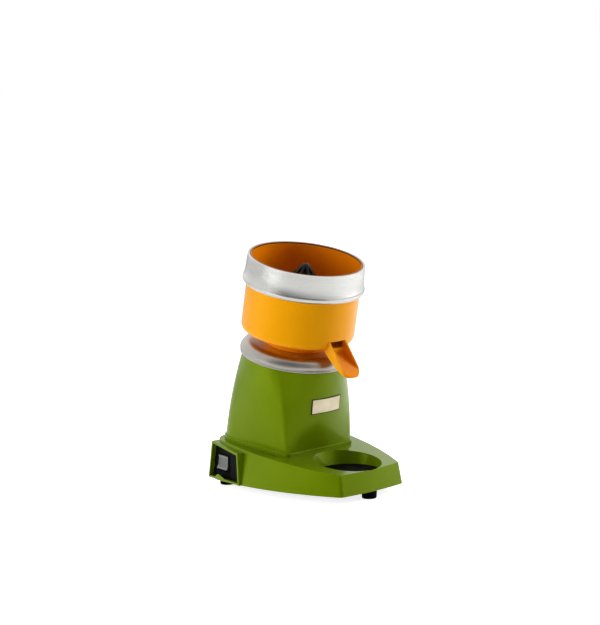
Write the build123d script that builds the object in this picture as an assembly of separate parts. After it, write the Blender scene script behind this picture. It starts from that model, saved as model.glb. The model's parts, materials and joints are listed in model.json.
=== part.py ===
from build123d import *
from math import atan2, cos, radians, sin, tan
import os

# Electric citrus juicer: an inclined motor in a cast tower turns a ribbed cone above a draining bowl.
# Millimetres, +Z up. The spout and the glass well are at -Y and the switch looks to -X. Round pieces are
# drawn about the motor axis, with height 0 at the collar's lip, and then leaned forward with the motor.

# Stance of the motor axis
AXIS_LEAN = 11.6
AXIS_HEIGHT = 191.2

# General sizes
CAST_WALL = 4.0
FIT_GAP = 0.02
RUNNING_GAP = 0.05
LOOSE_GAP = 0.4
BREAK_EDGE = 1.2
REACH = 400.0

# Pan of the casting, at its foot line
PAN_FOOT = 11.6
PAN_FRONT = 156.0
PAN_FRONT_BOW = 4.5
PAN_FRONT_HALF = 62.5
PAN_SIDE_AT = -50.0
PAN_SIDE_HALF = 97.5
PAN_REAR_CORNER = 88.0
PAN_REAR_HALF = 96.5
PAN_REAR = 98.0
PAN_FRONT_ROUND = 9.0
PAN_REAR_ROUND = 37.0
PAN_DRAFT = 10.0
PAN_TOP_AT_AXIS = 61.0
PAN_TOP_SLOPE = 7.0

# Tower of the casting, at the pan's top and under the collar
TOWER_FRONT = 50.0
TOWER_FRONT_BOW = 1.0
TOWER_FRONT_HALF = 64.0
TOWER_SIDE_AT = 10.0
TOWER_SIDE_HALF = 75.5
TOWER_REAR_CORNER = 79.0
TOWER_REAR_HALF = 80.0
TOWER_REAR = 84.0
TOWER_FRONT_ROUND = 6.0
TOWER_REAR_ROUND = 26.0
TOWER_TOP = -2.4
TOWER_TOP_RADIUS = 75.5
TOWER_SWELL = 3.0
RIDGE_FRONT = 31.2
RIDGE_FRONT_SPREAD = 2.5
RIDGE_REAR = 45.0
RIDGE_REAR_SPREAD = 15.0
DECK_THICK = 8.0
HUB_RADIUS = 44.0
HUB_PLAY = 1.5
PLINTH_LEDGE = 1.8
PLINTH_RISE = 5.5
PLINTH_ROUND = 1.0

# Glass well
WELL_LAND = 3.5
WELL_RADIUS = 49.5
WELL_DRAFT = 15.0
WELL_FLOOR = 31.5
MAT_THICK = 2.5

# Switch housing on the pan's left wall
HOUSING_PROUD = 3.6
HOUSING_BACK = 49.0
HOUSING_TURN = 9.0
HOUSING_HALF = 40.0
HOUSING_FRONT_TOP = 38.0
HOUSING_REAR_TOP = 29.0
HOUSING_FRONT_RISE = 47.0
HOUSING_REAR_RISE = 55.5
HOUSING_DEPTH = 34.0
HOUSING_RIM = 3.0
HOUSING_ROUND = 1.0
RECESS_DEPTH = 10.0

# Switch
SWITCH_ALONG = -8.0
SWITCH_UP = 24.5
BEZEL_THICK = 3.0
COLLAR_WALL = 2.0
COLLAR_RISE = 1.5
ROCKER_WIDTH = 25.0
ROCKER_HALF_HEIGHT = 10.0
ROCKER_FACE = 9.0
ROCKER_DIP = 2.5
ROCKER_BACK = 3.0
ROCKER_PLAY = 0.8
ROCKER_REST = 10.0
PIVOT_SET_BACK = 3.0
PIVOT_RADIUS = 1.6
SWITCH_WALL = 2.0
SWITCH_DEPTH = 24.0
TAB_WIDTH = 6.3
TAB_THICK = 0.8
TAB_LENGTH = 8.0
TAB_PITCH = 9.0

# Bottom plate, feet and fasteners
PLATE_SET_UP = 1.0
PLATE_PLAY = 1.0
PLATE_THICK = 1.5
VENT_COUNT = 7
VENT_PITCH = 9.0
VENT_WIDTH = 4.0
VENT_LENGTH = 46.0
VENT_BACK = 30.0
BOSS_RADIUS = 5.0
BOSS_FRONT_OUT = 1.5
BOSS_FRONT_BACK = 36.0
BOSS_SIDE_IN = 15.5
BOSS_SIDE_AHEAD = 12.0
BOSS_REAR_IN = 51.5
BOSS_REAR_AHEAD = 15.0
SCREW_RADIUS = 2.0
SCREW_HEAD_RADIUS = 3.8
SCREW_HEAD = 2.2
SCREW_BITE = 9.0
FOOT_RADIUS = 10.5
FOOT_TOP_RADIUS = 11.3
FOOT_NECK_RADIUS = 7.0
FOOT_POCKET_RADIUS = 5.5
FOOT_POCKET = 5.0
FOOT_FRONT_BACK = 11.5
FOOT_REAR_AHEAD = 27.0
FOOT_REAR_IN = 24.5
FOOT_SCREW_RADIUS = 2.5
FOOT_SCREW_HEAD = 2.8
NUT_FLATS = 8.0
NUT_THICK = 3.6

# Cable inlet in the rear wall
GLAND_UP = 17.0
GLAND_BORE = 4.0
GLAND_NECK = 6.5
GLAND_FLANGE = 9.0
GLAND_FLANGE_THICK = 2.5
GLAND_PAD_RADIUS = 11.5
GLAND_PAD_THICK = 9.5

# Collar
COLLAR_DOME = 14.0
COLLAR_PROUD = 4.6
COLLAR_SHEET = 1.5
COLLAR_TOP = 17.5
COLLAR_LIP_PROUD = 2.3
COLLAR_LIP = -0.6
COLLAR_BEAD = 1.8

# Seal housing that centres the bowl
SPIGOT_RADIUS = 34.0
SPIGOT_RISE = 6.0
SPIGOT_NECK_WALL = 6.0
SPIGOT_NECK_RISE = 15.0
SEAL_SECTION = 5.0
SEAL_THICK = 7.0
KEY_WIDTH = 6.0
KEY_REACH = 3.5
SPIGOT_SCREW_PITCH = 26.0
SPIGOT_SCREW_COUNT = 3

# Motor
STATOR_RADIUS = 50.0
STATOR_BORE = 28.0
STATOR_LENGTH = 56.0
STATOR_TOP = -36.0
AIR_GAP = 0.4
WINDING_IN = 31.0
WINDING_OUT = 45.0
WINDING_RISE = 10.0
WINDING_ROUND = 4.0
SHIELD_WALL = 5.0
SHIELD_PLATE = 10.0
SHIELD_LAP = 8.0
SHIELD_HUB_WALL = 4.5
EAR_RADIUS = 6.0
EAR_STAND = 8.0
BOLT_COUNT = 4
BOLT_RADIUS = 2.5
BOLT_HEAD = 4.0
BOLT_HEAD_RADIUS = 4.5
BOLT_BITE = 6.0
BEARING_SECTION = 8.0
BEARING_WIDTH = 8.0
BALL_RADIUS = 2.3
BALL_GAP = 0.06
BALL_COUNT = 7
RACE_SHOULDER = 1.8
CAGE_WIDTH = 2.4
CAGE_THICK = 1.2
SHAFT_RADIUS = 8.0
SHAFT_STEP = 2.0
SHAFT_TOP = 112.0
FAN_RADIUS = 44.0
FAN_HUB = 12.0
FAN_DEPTH = 10.0
FAN_PLATE = 2.0
FAN_BLADES = 8
FAN_BLADE = 2.0
FAN_CLEARANCE = 4.0

# Capacitor and terminal block on the bottom plate
CAPACITOR_RADIUS = 17.0
CAPACITOR_LENGTH = 68.0
CAPACITOR_AT = (60.0, 28.0)
CAPACITOR_STUD = 3.0
CLIP_WIDTH = 16.0
CLIP_SHEET = 1.2
CLIP_FOOT = 12.0
BLOCK_LENGTH = 46.0
BLOCK_WIDTH = 18.0
BLOCK_HEIGHT = 14.0
BLOCK_WAYS = 4
BLOCK_WELL = 3.2
BLOCK_AT = (-20.0, -35.0)

# Bowl and spout
BOWL_RADIUS = 82.8
BOWL_UNDER = 32.5
BOWL_WALL = 3.0
BOWL_FLOOR = 3.5
BOWL_RIM = 146.0
BOWL_ROUND = 9.0
BOWL_STAND_RADIUS = 46.0
SOCKET_DEPTH = 18.0
CHIMNEY_CLEARANCE = 4.0
CHIMNEY_WALL = 2.5
CHIMNEY_LAP = 5.0
RIB_COUNT = 3
RIB_WIDTH = 4.0
RIB_DEPTH = 5.0
SPOUT_HALF = 17.0
SPOUT_WALL = 2.5
SPOUT_RUN = 41.2
SPOUT_TIP = 4.7
SPOUT_BROW = 46.0
SPOUT_SAG = 6.0
SPOUT_MOUTH = 10.5
SPOUT_LIP = 2.0
SPOUT_TIP_ROUND = 13.0

# Splash band
BAND_FOOT = 104.5
BAND_BEAD_RISE = 5.0
BAND_FLARE_RISE = 9.5
BAND_STEP_RISE = 20.5
BAND_STAND = 2.7
BAND_STEP_STAND = 3.7
BAND_FLARE_STAND = 5.3
BAND_BEAD_STAND = 6.2
BAND_SHEET = 1.4

# Strainer
STRAINER_SHEET = 1.2
STRAINER_FLOOR = 70.0
STRAINER_REST = 92.0
STRAINER_PLAY = 1.0
STRAINER_FLANGE = 5.0
STRAINER_LEAN = 5.0
NECK_DROP = 12.0
NECK_RISE = 6.8
NECK_WALL = 1.5
SLOT_COUNT = 24
SLOT_WIDTH = 2.4
SLOT_INNER_MARGIN = 10.0
SLOT_OUTER_MARGIN = 6.0
SLOT_BRIDGE = 4.0

# Reamer, its bush and the drive pin
STUB_COVER = 2.0
BUSH_WALL = 3.0
BUSH_FLANGE = 17.0
BUSH_FLANGE_THICK = 2.0
REAMER_RADIUS = 38.0
REAMER_RIM = 3.0
REAMER_TIP = 139.5
REAMER_NOSE = 3.0
REAMER_SHOULDER = 108.0
REAMER_SHOULDER_RADIUS = 22.5
REAMER_RIBS = 8
RIB_STAND = 3.2
RIB_THICK = 2.6
HOLLOW_IN = 19.5
HOLLOW_OUT = 30.0
HOLLOW_TOP_OUT = 24.0
HOLLOW_RISE = 16.0
STUB_DROP = 12.0
PIN_HEIGHT = 96.0
PIN_RADIUS = 2.0
PIN_HALF = 9.0

# Bare plate on the tower's front
PLATE_WIDTH = 56.5
PLATE_HEIGHT = 22.5
PLATE_MIDDLE = 124.5
NAMEPLATE_THICK = 1.0

# Heights and places that follow from the sizes above
LEAN = radians(AXIS_LEAN)
MOTOR_AXIS = Plane((0, 0, AXIS_HEIGHT), x_dir=(1, 0, 0), z_dir=(0, -sin(LEAN), cos(LEAN)))
SLOPE = radians(PAN_TOP_SLOPE)
PAN_TOP = Plane((0, 0, PAN_TOP_AT_AXIS), x_dir=(1, 0, 0), z_dir=(0, -sin(SLOPE), cos(SLOPE)))
TURN = radians(HOUSING_TURN)
HOUSING_OUT = PAN_SIDE_HALF + HOUSING_PROUD
HOUSING_FACE = Plane(
    (-HOUSING_OUT, HOUSING_BACK, PAN_FOOT),
    x_dir=(-sin(TURN), -cos(TURN), 0),
    z_dir=(-cos(TURN), sin(TURN), 0),
)
SWITCH_PLACE = HOUSING_FACE * Location((SWITCH_ALONG, SWITCH_UP, -RECESS_DEPTH))
PLATE_UNDER = PAN_FOOT + PLATE_SET_UP
PLATE_UPPER = PLATE_UNDER + PLATE_THICK
DECK_UNDER = TOWER_TOP - DECK_THICK
HUB_TOP = COLLAR_TOP - COLLAR_SHEET
COLLAR_FLAT = TOWER_TOP_RADIUS + COLLAR_PROUD - COLLAR_DOME
COLLAR_LIP_RADIUS = TOWER_TOP_RADIUS + COLLAR_LIP_PROUD
SLIM_RADIUS = SHAFT_RADIUS - SHAFT_STEP
BEARING_IN = SLIM_RADIUS
BEARING_OUT = BEARING_IN + BEARING_SECTION
SHIELD_HUB = BEARING_OUT + SHIELD_HUB_WALL
HUB_BORE = SHIELD_HUB + HUB_PLAY
EAR_PITCH = STATOR_RADIUS + EAR_STAND
SEAL_RADIUS = SLIM_RADIUS + SEAL_SECTION
SPIGOT_NECK_RADIUS = SEAL_RADIUS + SPIGOT_NECK_WALL
CHIMNEY_BORE = SLIM_RADIUS + CHIMNEY_CLEARANCE
STATOR_FOOT = STATOR_TOP - STATOR_LENGTH
UPPER_BEARING = DECK_UNDER
LOWER_BEARING = STATOR_FOOT - WINDING_RISE - BEARING_WIDTH - SHIELD_PLATE / 2
FAN_TOP = LOWER_BEARING - FAN_CLEARANCE
SHAFT_FOOT = FAN_TOP - FAN_DEPTH - FAN_PLATE
BUSH_BORE = PIN_HALF + STUB_COVER
BUSH_RADIUS = BUSH_BORE + BUSH_WALL
NECK_FOOT = STRAINER_FLOOR - NECK_DROP
NECK_TOP = STRAINER_FLOOR + STRAINER_SHEET + NECK_RISE
CHIMNEY_TOP = NECK_FOOT + CHIMNEY_LAP
SPOUT_REACH = BOWL_RADIUS + SPOUT_RUN
BAND_BEAD = BAND_FOOT + BAND_BEAD_RISE
BAND_FLARE = BAND_FOOT + BAND_FLARE_RISE
BAND_STEP = BAND_FOOT + BAND_STEP_RISE
STRAINER_FLANGE_RADIUS = BOWL_RADIUS - BOWL_WALL - STRAINER_PLAY
STRAINER_WALL_RADIUS = STRAINER_FLANGE_RADIUS - STRAINER_FLANGE
STRAINER_FLOOR_RADIUS = STRAINER_WALL_RADIUS - STRAINER_LEAN
REAMER_FOOT = NECK_TOP + BUSH_FLANGE_THICK
STUB_FOOT = REAMER_FOOT - STUB_DROP
WELL_AHEAD = PAN_FRONT + PAN_FRONT_BOW - WELL_LAND - WELL_RADIUS
WELL_TOP = PAN_TOP_AT_AXIS - WELL_AHEAD * tan(SLOPE)
PAN_HIGHEST = PAN_TOP_AT_AXIS + PAN_REAR * tan(SLOPE)
SOCKET_TOP = COLLAR_TOP + SOCKET_DEPTH
FOOT_REAR_HALF = PAN_SIDE_HALF - FOOT_REAR_IN
FOOT_REAR_BACK = PAN_REAR - FOOT_REAR_AHEAD
FOOT_SPOTS = {
    "foot_front": (0, FOOT_FRONT_BACK - PAN_FRONT - PAN_FRONT_BOW),
    "foot_rear_left": (-FOOT_REAR_HALF, FOOT_REAR_BACK),
    "foot_rear_right": (FOOT_REAR_HALF, FOOT_REAR_BACK),
}
BOSS_SPOTS = (
    (PAN_FRONT_HALF + BOSS_FRONT_OUT, BOSS_FRONT_BACK - PAN_FRONT),
    (PAN_SIDE_HALF - BOSS_SIDE_IN, -BOSS_SIDE_AHEAD),
    (PAN_REAR_HALF - BOSS_REAR_IN, PAN_REAR - BOSS_REAR_AHEAD),
)


def mirrored(spots):
    """Gives each (x, y) spot together with its twin across the centre plane."""
    return [(side * x, y) for x, y in spots for side in (-1, 1)]


def turned(points, rounds=()):
    """Turns a closed (radius, height) outline about Z, with (corner number, radius) pairs rounded first."""
    face = make_face(Polyline(*points, close=True))
    for corner, radius in rounds:
        face = fillet(face.vertices().sort_by_distance(Vector(*points[corner]))[0], radius)
    return revolve(Plane.XZ * face, Axis.Z)


def tube(radius, bore, low, high):
    """A round tube about Z between two heights."""
    return turned([(bore, low), (radius, low), (radius, high), (bore, high)])


def rod(radius, low, high):
    """A round bar about Z between two heights."""
    return Pos(0, 0, low) * Cylinder(radius, high - low, align=(Align.CENTER, Align.CENTER, Align.MIN))


def screw(radius, head_radius, head, length):
    """A plain screw that stands on Z = 0 with its head below."""
    return rod(radius, 0, length) + rod(head_radius, -head, 0)


def shield_outline(front, bow, front_half, side_at, side_half, corner, corner_half, rear, rounds):
    """A plan with bowed front, sides and rear; rounds gives its front and rear corner radii."""
    right = ThreePointArc((front_half, -front), (side_half, side_at), (corner_half, corner))
    back = ThreePointArc((corner_half, corner), (0, rear), (-corner_half, corner))
    left = ThreePointArc((-corner_half, corner), (-side_half, side_at), (-front_half, -front))
    nose = ThreePointArc((-front_half, -front), (0, -front - bow), (front_half, -front))
    face = make_face([right, back, left, nose])
    for x in (-1, 1):
        near = face.vertices().sort_by_distance(Vector(x * front_half, -front))[0]
        face = fillet(near, rounds[0])
        far = face.vertices().sort_by_distance(Vector(x * corner_half, corner))[0]
        face = fillet(far, rounds[1])
    return face


def pan_outline(inset):
    """Plan of the pan at its foot, drawn in by a margin."""
    return shield_outline(
        PAN_FRONT - inset, PAN_FRONT_BOW, PAN_FRONT_HALF - inset, PAN_SIDE_AT, PAN_SIDE_HALF - inset,
        PAN_REAR_CORNER - inset, PAN_REAR_HALF - inset, PAN_REAR - inset,
        (PAN_FRONT_ROUND - inset, PAN_REAR_ROUND - inset),
    )


def pan_solid(inset, drop):
    """The drafted pan, drawn in by a margin and cut by its sloping top, lowered by drop."""
    block = extrude(Pos(0, 0, PAN_FOOT) * pan_outline(inset), PAN_HIGHEST, taper=PAN_DRAFT)
    return split(block, PAN_TOP.offset(-drop), keep=Keep.BOTTOM)


def pan_body():
    """The pan's outer form, with its upper edge rounded over."""
    pan = pan_solid(0, 0)
    rim = pan.faces().sort_by(Axis.Z)[-1].edges()
    return fillet(rim, BREAK_EDGE)


def tower_foot(grow):
    """Plan of the tower where it meets the pan, grown by a margin."""
    return shield_outline(
        TOWER_FRONT + grow, TOWER_FRONT_BOW, TOWER_FRONT_HALF + grow, TOWER_SIDE_AT,
        TOWER_SIDE_HALF + grow, TOWER_REAR_CORNER + grow, TOWER_REAR_HALF + grow, TOWER_REAR + grow,
        (TOWER_FRONT_ROUND + grow, TOWER_REAR_ROUND + grow),
    )


def tower_head(radius):
    """Round plan of the tower's head, parted where the corners of its foot run out."""
    front = [-RIDGE_FRONT - RIDGE_FRONT_SPREAD, -RIDGE_FRONT + RIDGE_FRONT_SPREAD]
    rear = [RIDGE_REAR - RIDGE_REAR_SPREAD, RIDGE_REAR + RIDGE_REAR_SPREAD]
    right = front + rear
    turns = right + [180 - turn for turn in reversed(right)]
    arcs = [CenterArc((0, 0), radius, here, (there - here) % 360) for here, there in zip(turns, turns[1:] + turns[:1])]
    return make_face(arcs)


def spans(plan):
    """Start, middle and end of each edge of a plan, anticlockwise about the origin."""
    found = []
    for edge in plan.edges():
        here, middle, there = edge @ 0, edge @ 0.5, edge @ 1
        forward = here.X * there.Y > here.Y * there.X
        found.append((here, middle, there) if forward else (there, middle, here))
    return sorted(found, key=lambda span: atan2(span[1].Y, span[1].X))


def tower_solid(grow, sink, top):
    """The swelling tower, from its angular foot in the pan's top to its round head on the motor axis."""
    low = PAN_TOP.offset(-sink)
    high = MOTOR_AXIS.offset(top)
    foot = tower_foot(grow)
    head = tower_head(TOWER_TOP_RADIUS + grow)
    swell = 1 + TOWER_SWELL / TOWER_TOP_RADIUS
    arcs = []
    for below, above in zip(spans(foot), spans(head)):
        arcs.append(ThreePointArc(*[(one + two) * (swell / 2) for one, two in zip(below, above)]))
    middle = Plane((low.origin + high.origin) / 2, x_dir=(1, 0, 0), z_dir=low.z_dir + high.z_dir)
    return loft([low * foot, middle * make_face(arcs), high * head])


def well_cone(grow, floor):
    """The glass well's tapering hollow, or its cup when grown."""
    top = PAN_TOP_AT_AXIS
    low = WELL_RADIUS + grow - (WELL_TOP - floor) * tan(radians(WELL_DRAFT))
    high = WELL_RADIUS + grow + (top - WELL_TOP) * tan(radians(WELL_DRAFT))
    return Pos(0, -WELL_AHEAD, 0) * turned([(0, floor), (low, floor), (high, top), (0, top)])


def housing_outline(inset):
    """The switch housing's face, which follows the slope of the pan's top."""
    corners = [
        (-HOUSING_HALF + inset, inset),
        (HOUSING_HALF - inset, inset),
        (HOUSING_FRONT_TOP - inset, HOUSING_FRONT_RISE - inset),
        (-HOUSING_REAR_TOP + inset, HOUSING_REAR_RISE - inset),
    ]
    return make_face(Polyline(*corners, close=True))


def gland_pad():
    """Flat round pad on the pan's rear wall that the cable inlet sits in."""
    middle = (0, PAN_REAR - GLAND_PAD_THICK, PAN_FOOT + GLAND_UP)
    return Plane(middle, z_dir=(0, 1, 0)) * rod(GLAND_PAD_RADIUS, 0, GLAND_PAD_THICK)


def body_casting():
    """The hollow casting: pan, plinth, tower with its deck and hub, well cup and switch housing."""
    pan = pan_body()
    plinth = extrude(PAN_TOP.offset(-CAST_WALL) * tower_foot(PLINTH_LEDGE), CAST_WALL + PLINTH_RISE)
    plinth = fillet(plinth.faces().sort_by(Axis(PAN_TOP.origin, PAN_TOP.z_dir))[-1].edges(), PLINTH_ROUND)
    housing = extrude(HOUSING_FACE * housing_outline(0), -HOUSING_DEPTH)
    housing = fillet(housing.faces().sort_by(Axis(HOUSING_FACE.origin, HOUSING_FACE.z_dir))[-1].edges(), HOUSING_ROUND)
    shell = pan + plinth + tower_solid(0, CAST_WALL, TOWER_TOP) + housing + gland_pad()
    shell -= pan_solid(CAST_WALL, CAST_WALL)
    shell -= tower_solid(-CAST_WALL, 2 * CAST_WALL, DECK_UNDER)
    hollow = HOUSING_FACE.offset(-RECESS_DEPTH - CAST_WALL)
    shell -= extrude(hollow * housing_outline(CAST_WALL), -HOUSING_DEPTH)
    cup = well_cone(CAST_WALL, WELL_FLOOR - CAST_WALL) & pan
    shell += cup
    for spot in mirrored(BOSS_SPOTS):
        shell += Pos(*spot, 0) * rod(BOSS_RADIUS, PLATE_UPPER, PAN_HIGHEST) & pan
        shell -= Pos(*spot, 0) * rod(SCREW_RADIUS + FIT_GAP, 0, PLATE_UPPER + SCREW_BITE + LOOSE_GAP)
    shell -= well_cone(0, WELL_FLOOR)
    shell += MOTOR_AXIS * rod(HUB_RADIUS, TOWER_TOP, HUB_TOP)
    shell -= MOTOR_AXIS * rod(HUB_BORE, DECK_UNDER, HUB_TOP)
    for spot in PolarLocations(EAR_PITCH, BOLT_COUNT, start_angle=45):
        shell -= MOTOR_AXIS * spot * rod(BOLT_RADIUS + FIT_GAP, DECK_UNDER, DECK_UNDER + BOLT_BITE)
    for spot in PolarLocations(SPIGOT_SCREW_PITCH, SPIGOT_SCREW_COUNT, start_angle=-90):
        shell -= MOTOR_AXIS * spot * rod(SCREW_RADIUS + FIT_GAP, HUB_TOP - SCREW_BITE, HUB_TOP)
    shell -= extrude(HOUSING_FACE * housing_outline(HOUSING_RIM), -RECESS_DEPTH)
    shell -= SWITCH_PLACE * Box(
        switch_body_width() + 2 * LOOSE_GAP,
        switch_body_height() + 2 * LOOSE_GAP,
        2 * CAST_WALL + LOOSE_GAP,
    )
    inlet = Plane((0, PAN_REAR, PAN_FOOT + GLAND_UP), z_dir=(0, 1, 0))
    return shell - inlet * rod(GLAND_NECK + FIT_GAP, -2 * GLAND_PAD_THICK, 0)


def glass_mat():
    """Rubber disc on the floor of the glass well."""
    floor_radius = WELL_RADIUS - (WELL_TOP - WELL_FLOOR) * tan(radians(WELL_DRAFT))
    disc = rod(floor_radius - LOOSE_GAP, WELL_FLOOR, WELL_FLOOR + MAT_THICK)
    return Pos(0, -WELL_AHEAD, 0) * chamfer(disc.edges().group_by(Axis.Z)[-1], MAT_THICK / 4)


def bottom_plate():
    """Sheet that closes the pan from below, with vent slots under the motor."""
    low = Pos(0, 0, PLATE_UNDER) * pan_outline(CAST_WALL + PLATE_PLAY)
    plate = extrude(low, PLATE_THICK)
    for spot in mirrored(BOSS_SPOTS):
        plate -= Pos(*spot, 0) * rod(SCREW_RADIUS + FIT_GAP, 0, PLATE_UPPER)
    for spot in FOOT_SPOTS.values():
        plate -= Pos(*spot, 0) * rod(FOOT_SCREW_RADIUS + FIT_GAP, 0, PLATE_UPPER)
    slot = extrude(SlotOverall(VENT_LENGTH, VENT_WIDTH), PLATE_UPPER)
    for spot in GridLocations(0, VENT_PITCH, 1, VENT_COUNT):
        plate -= Pos(0, VENT_BACK, 0) * spot * slot
    return plate


def bottom_plate_screws():
    """Screws that hold the bottom plate to the casting's bosses."""
    one = screw(SCREW_RADIUS, SCREW_HEAD_RADIUS, SCREW_HEAD, PLATE_THICK + SCREW_BITE)
    return [Pos(*spot, PLATE_UNDER) * one for spot in mirrored(BOSS_SPOTS)]


def rubber_foot(spot):
    """Tapered rubber foot with a pocket for its screw."""
    bore = FOOT_SCREW_RADIUS + FIT_GAP
    outline = [
        (FOOT_POCKET_RADIUS, 0),
        (FOOT_RADIUS, 0),
        (FOOT_TOP_RADIUS, PAN_FOOT),
        (FOOT_NECK_RADIUS, PAN_FOOT),
        (FOOT_NECK_RADIUS, PLATE_UNDER),
        (bore, PLATE_UNDER),
        (bore, FOOT_POCKET),
        (FOOT_POCKET_RADIUS, FOOT_POCKET),
    ]
    return Pos(*spot, 0) * turned(outline, [(1, BREAK_EDGE)])


def foot_screws():
    """Screws through the feet into the nuts above the bottom plate."""
    length = PLATE_UPPER + NUT_THICK - FOOT_POCKET
    one = screw(FOOT_SCREW_RADIUS, FOOT_POCKET_RADIUS - LOOSE_GAP, FOOT_SCREW_HEAD, length)
    return [Pos(*spot, FOOT_POCKET) * one for spot in FOOT_SPOTS.values()]


def foot_nuts():
    """Hexagon nuts of the foot screws."""
    nut = extrude(RegularPolygon(NUT_FLATS / 2, 6, major_radius=False), NUT_THICK)
    nut -= rod(FOOT_SCREW_RADIUS + FIT_GAP, 0, NUT_THICK)
    return [Pos(*spot, PLATE_UPPER) * nut for spot in FOOT_SPOTS.values()]


def cable_gland():
    """Rubber grommet in the rear wall, with the bore for a mains lead."""
    inner = -GLAND_PAD_THICK - GLAND_FLANGE_THICK
    outline = [
        (GLAND_BORE, inner),
        (GLAND_FLANGE, inner),
        (GLAND_FLANGE, -GLAND_PAD_THICK),
        (GLAND_NECK, -GLAND_PAD_THICK),
        (GLAND_NECK, 0),
        (GLAND_FLANGE, 0),
        (GLAND_FLANGE - GLAND_FLANGE_THICK / 2, GLAND_FLANGE_THICK),
        (GLAND_BORE, GLAND_FLANGE_THICK),
    ]
    return Plane((0, PAN_REAR, PAN_FOOT + GLAND_UP), z_dir=(0, 1, 0)) * turned(outline)


def nameplate():
    """Bare plate bent to the tower's front."""
    skin = tower_solid(NAMEPLATE_THICK, CAST_WALL, TOWER_TOP) - tower_solid(0, CAST_WALL, TOWER_TOP)
    window = Pos(0, -TOWER_FRONT, PLATE_MIDDLE) * Box(PLATE_WIDTH, TOWER_TOP_RADIUS, PLATE_HEIGHT)
    return skin & window


def collar_ring():
    """Spun ring that crowns the tower: a flat, a quarter-round shoulder and a rolled lip."""
    rim = COLLAR_FLAT + COLLAR_DOME
    low = COLLAR_TOP - COLLAR_DOME
    inner = COLLAR_DOME - COLLAR_SHEET
    slant = sin(radians(45))
    crown = (COLLAR_FLAT + COLLAR_DOME * slant, low + COLLAR_DOME * slant)
    hollow = (COLLAR_FLAT + inner * slant, low + inner * slant)
    section = make_face([
        Line((SPIGOT_SCREW_PITCH - SCREW_HEAD_RADIUS, COLLAR_TOP), (COLLAR_FLAT, COLLAR_TOP)),
        ThreePointArc((COLLAR_FLAT, COLLAR_TOP), crown, (rim, low)),
        Line((rim, low), (COLLAR_LIP_RADIUS + COLLAR_BEAD / 2, COLLAR_LIP)),
        Line((COLLAR_LIP_RADIUS + COLLAR_BEAD / 2, COLLAR_LIP), (COLLAR_LIP_RADIUS - COLLAR_BEAD / 2, COLLAR_LIP)),
        Line((COLLAR_LIP_RADIUS - COLLAR_BEAD / 2, COLLAR_LIP), (rim - COLLAR_SHEET, low)),
        ThreePointArc((rim - COLLAR_SHEET, low), hollow, (COLLAR_FLAT, HUB_TOP)),
        Line((COLLAR_FLAT, HUB_TOP), (SPIGOT_SCREW_PITCH - SCREW_HEAD_RADIUS, HUB_TOP)),
        Line((SPIGOT_SCREW_PITCH - SCREW_HEAD_RADIUS, HUB_TOP), (SPIGOT_SCREW_PITCH - SCREW_HEAD_RADIUS, COLLAR_TOP)),
    ])
    section += Pos(COLLAR_LIP_RADIUS, COLLAR_LIP) * Circle(COLLAR_BEAD)
    ring = revolve(Plane.XZ * section, Axis.Z)
    for spot in PolarLocations(SPIGOT_SCREW_PITCH, SPIGOT_SCREW_COUNT, start_angle=-90):
        ring -= spot * rod(SCREW_RADIUS + FIT_GAP, HUB_TOP, COLLAR_TOP)
    return MOTOR_AXIS * ring


def seal_housing():
    """Turned spigot on the collar that centres the bowl, with a key at its back and the seal's seat."""
    bore = SLIM_RADIUS + LOOSE_GAP
    seat = COLLAR_TOP + SPIGOT_NECK_RISE - SEAL_THICK
    outline = [
        (bore, COLLAR_TOP),
        (SPIGOT_RADIUS, COLLAR_TOP),
        (SPIGOT_RADIUS, COLLAR_TOP + SPIGOT_RISE),
        (SPIGOT_NECK_RADIUS, COLLAR_TOP + SPIGOT_RISE),
        (SPIGOT_NECK_RADIUS, COLLAR_TOP + SPIGOT_NECK_RISE),
        (SEAL_RADIUS + FIT_GAP, COLLAR_TOP + SPIGOT_NECK_RISE),
        (SEAL_RADIUS + FIT_GAP, seat),
        (bore, seat),
    ]
    housing = turned(outline)
    key = Box(KEY_WIDTH, SPIGOT_RADIUS + KEY_REACH, SPIGOT_RISE, align=(Align.CENTER, Align.MIN, Align.MIN))
    housing += Pos(0, 0, COLLAR_TOP) * key - rod(SPIGOT_NECK_RADIUS, COLLAR_TOP, COLLAR_TOP + SPIGOT_RISE)
    for spot in PolarLocations(SPIGOT_SCREW_PITCH, SPIGOT_SCREW_COUNT, start_angle=-90):
        housing -= spot * rod(SCREW_RADIUS + FIT_GAP, COLLAR_TOP, COLLAR_TOP + SPIGOT_RISE)
    return MOTOR_AXIS * housing


def seal_housing_screws():
    """Screws that clamp the seal housing and the collar to the tower's hub."""
    length = SPIGOT_RISE + COLLAR_SHEET + SCREW_BITE - LOOSE_GAP
    one = Rot(180, 0, 0) * screw(SCREW_RADIUS, SCREW_HEAD_RADIUS, SCREW_HEAD, length)
    spots = PolarLocations(SPIGOT_SCREW_PITCH, SPIGOT_SCREW_COUNT, start_angle=-90)
    return [MOTOR_AXIS * spot * Pos(0, 0, COLLAR_TOP + SPIGOT_RISE) * one for spot in spots]


def shaft_seal():
    """Rubber lip seal round the shaft."""
    top = COLLAR_TOP + SPIGOT_NECK_RISE
    outline = [
        (SLIM_RADIUS + RUNNING_GAP, top - SEAL_THICK / 2),
        (SHAFT_RADIUS, top - SEAL_THICK),
        (SEAL_RADIUS, top - SEAL_THICK),
        (SEAL_RADIUS, top),
        (SHAFT_RADIUS, top),
    ]
    return MOTOR_AXIS * turned(outline)


def switch_body_width():
    """Outer width of the switch's case."""
    return ROCKER_WIDTH + 2 * LOOSE_GAP + 2 * SWITCH_WALL


def switch_body_height():
    """Outer height of the switch's case."""
    return 2 * (ROCKER_HALF_HEIGHT + ROCKER_PLAY + SWITCH_WALL) + ROCKER_DIP


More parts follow.
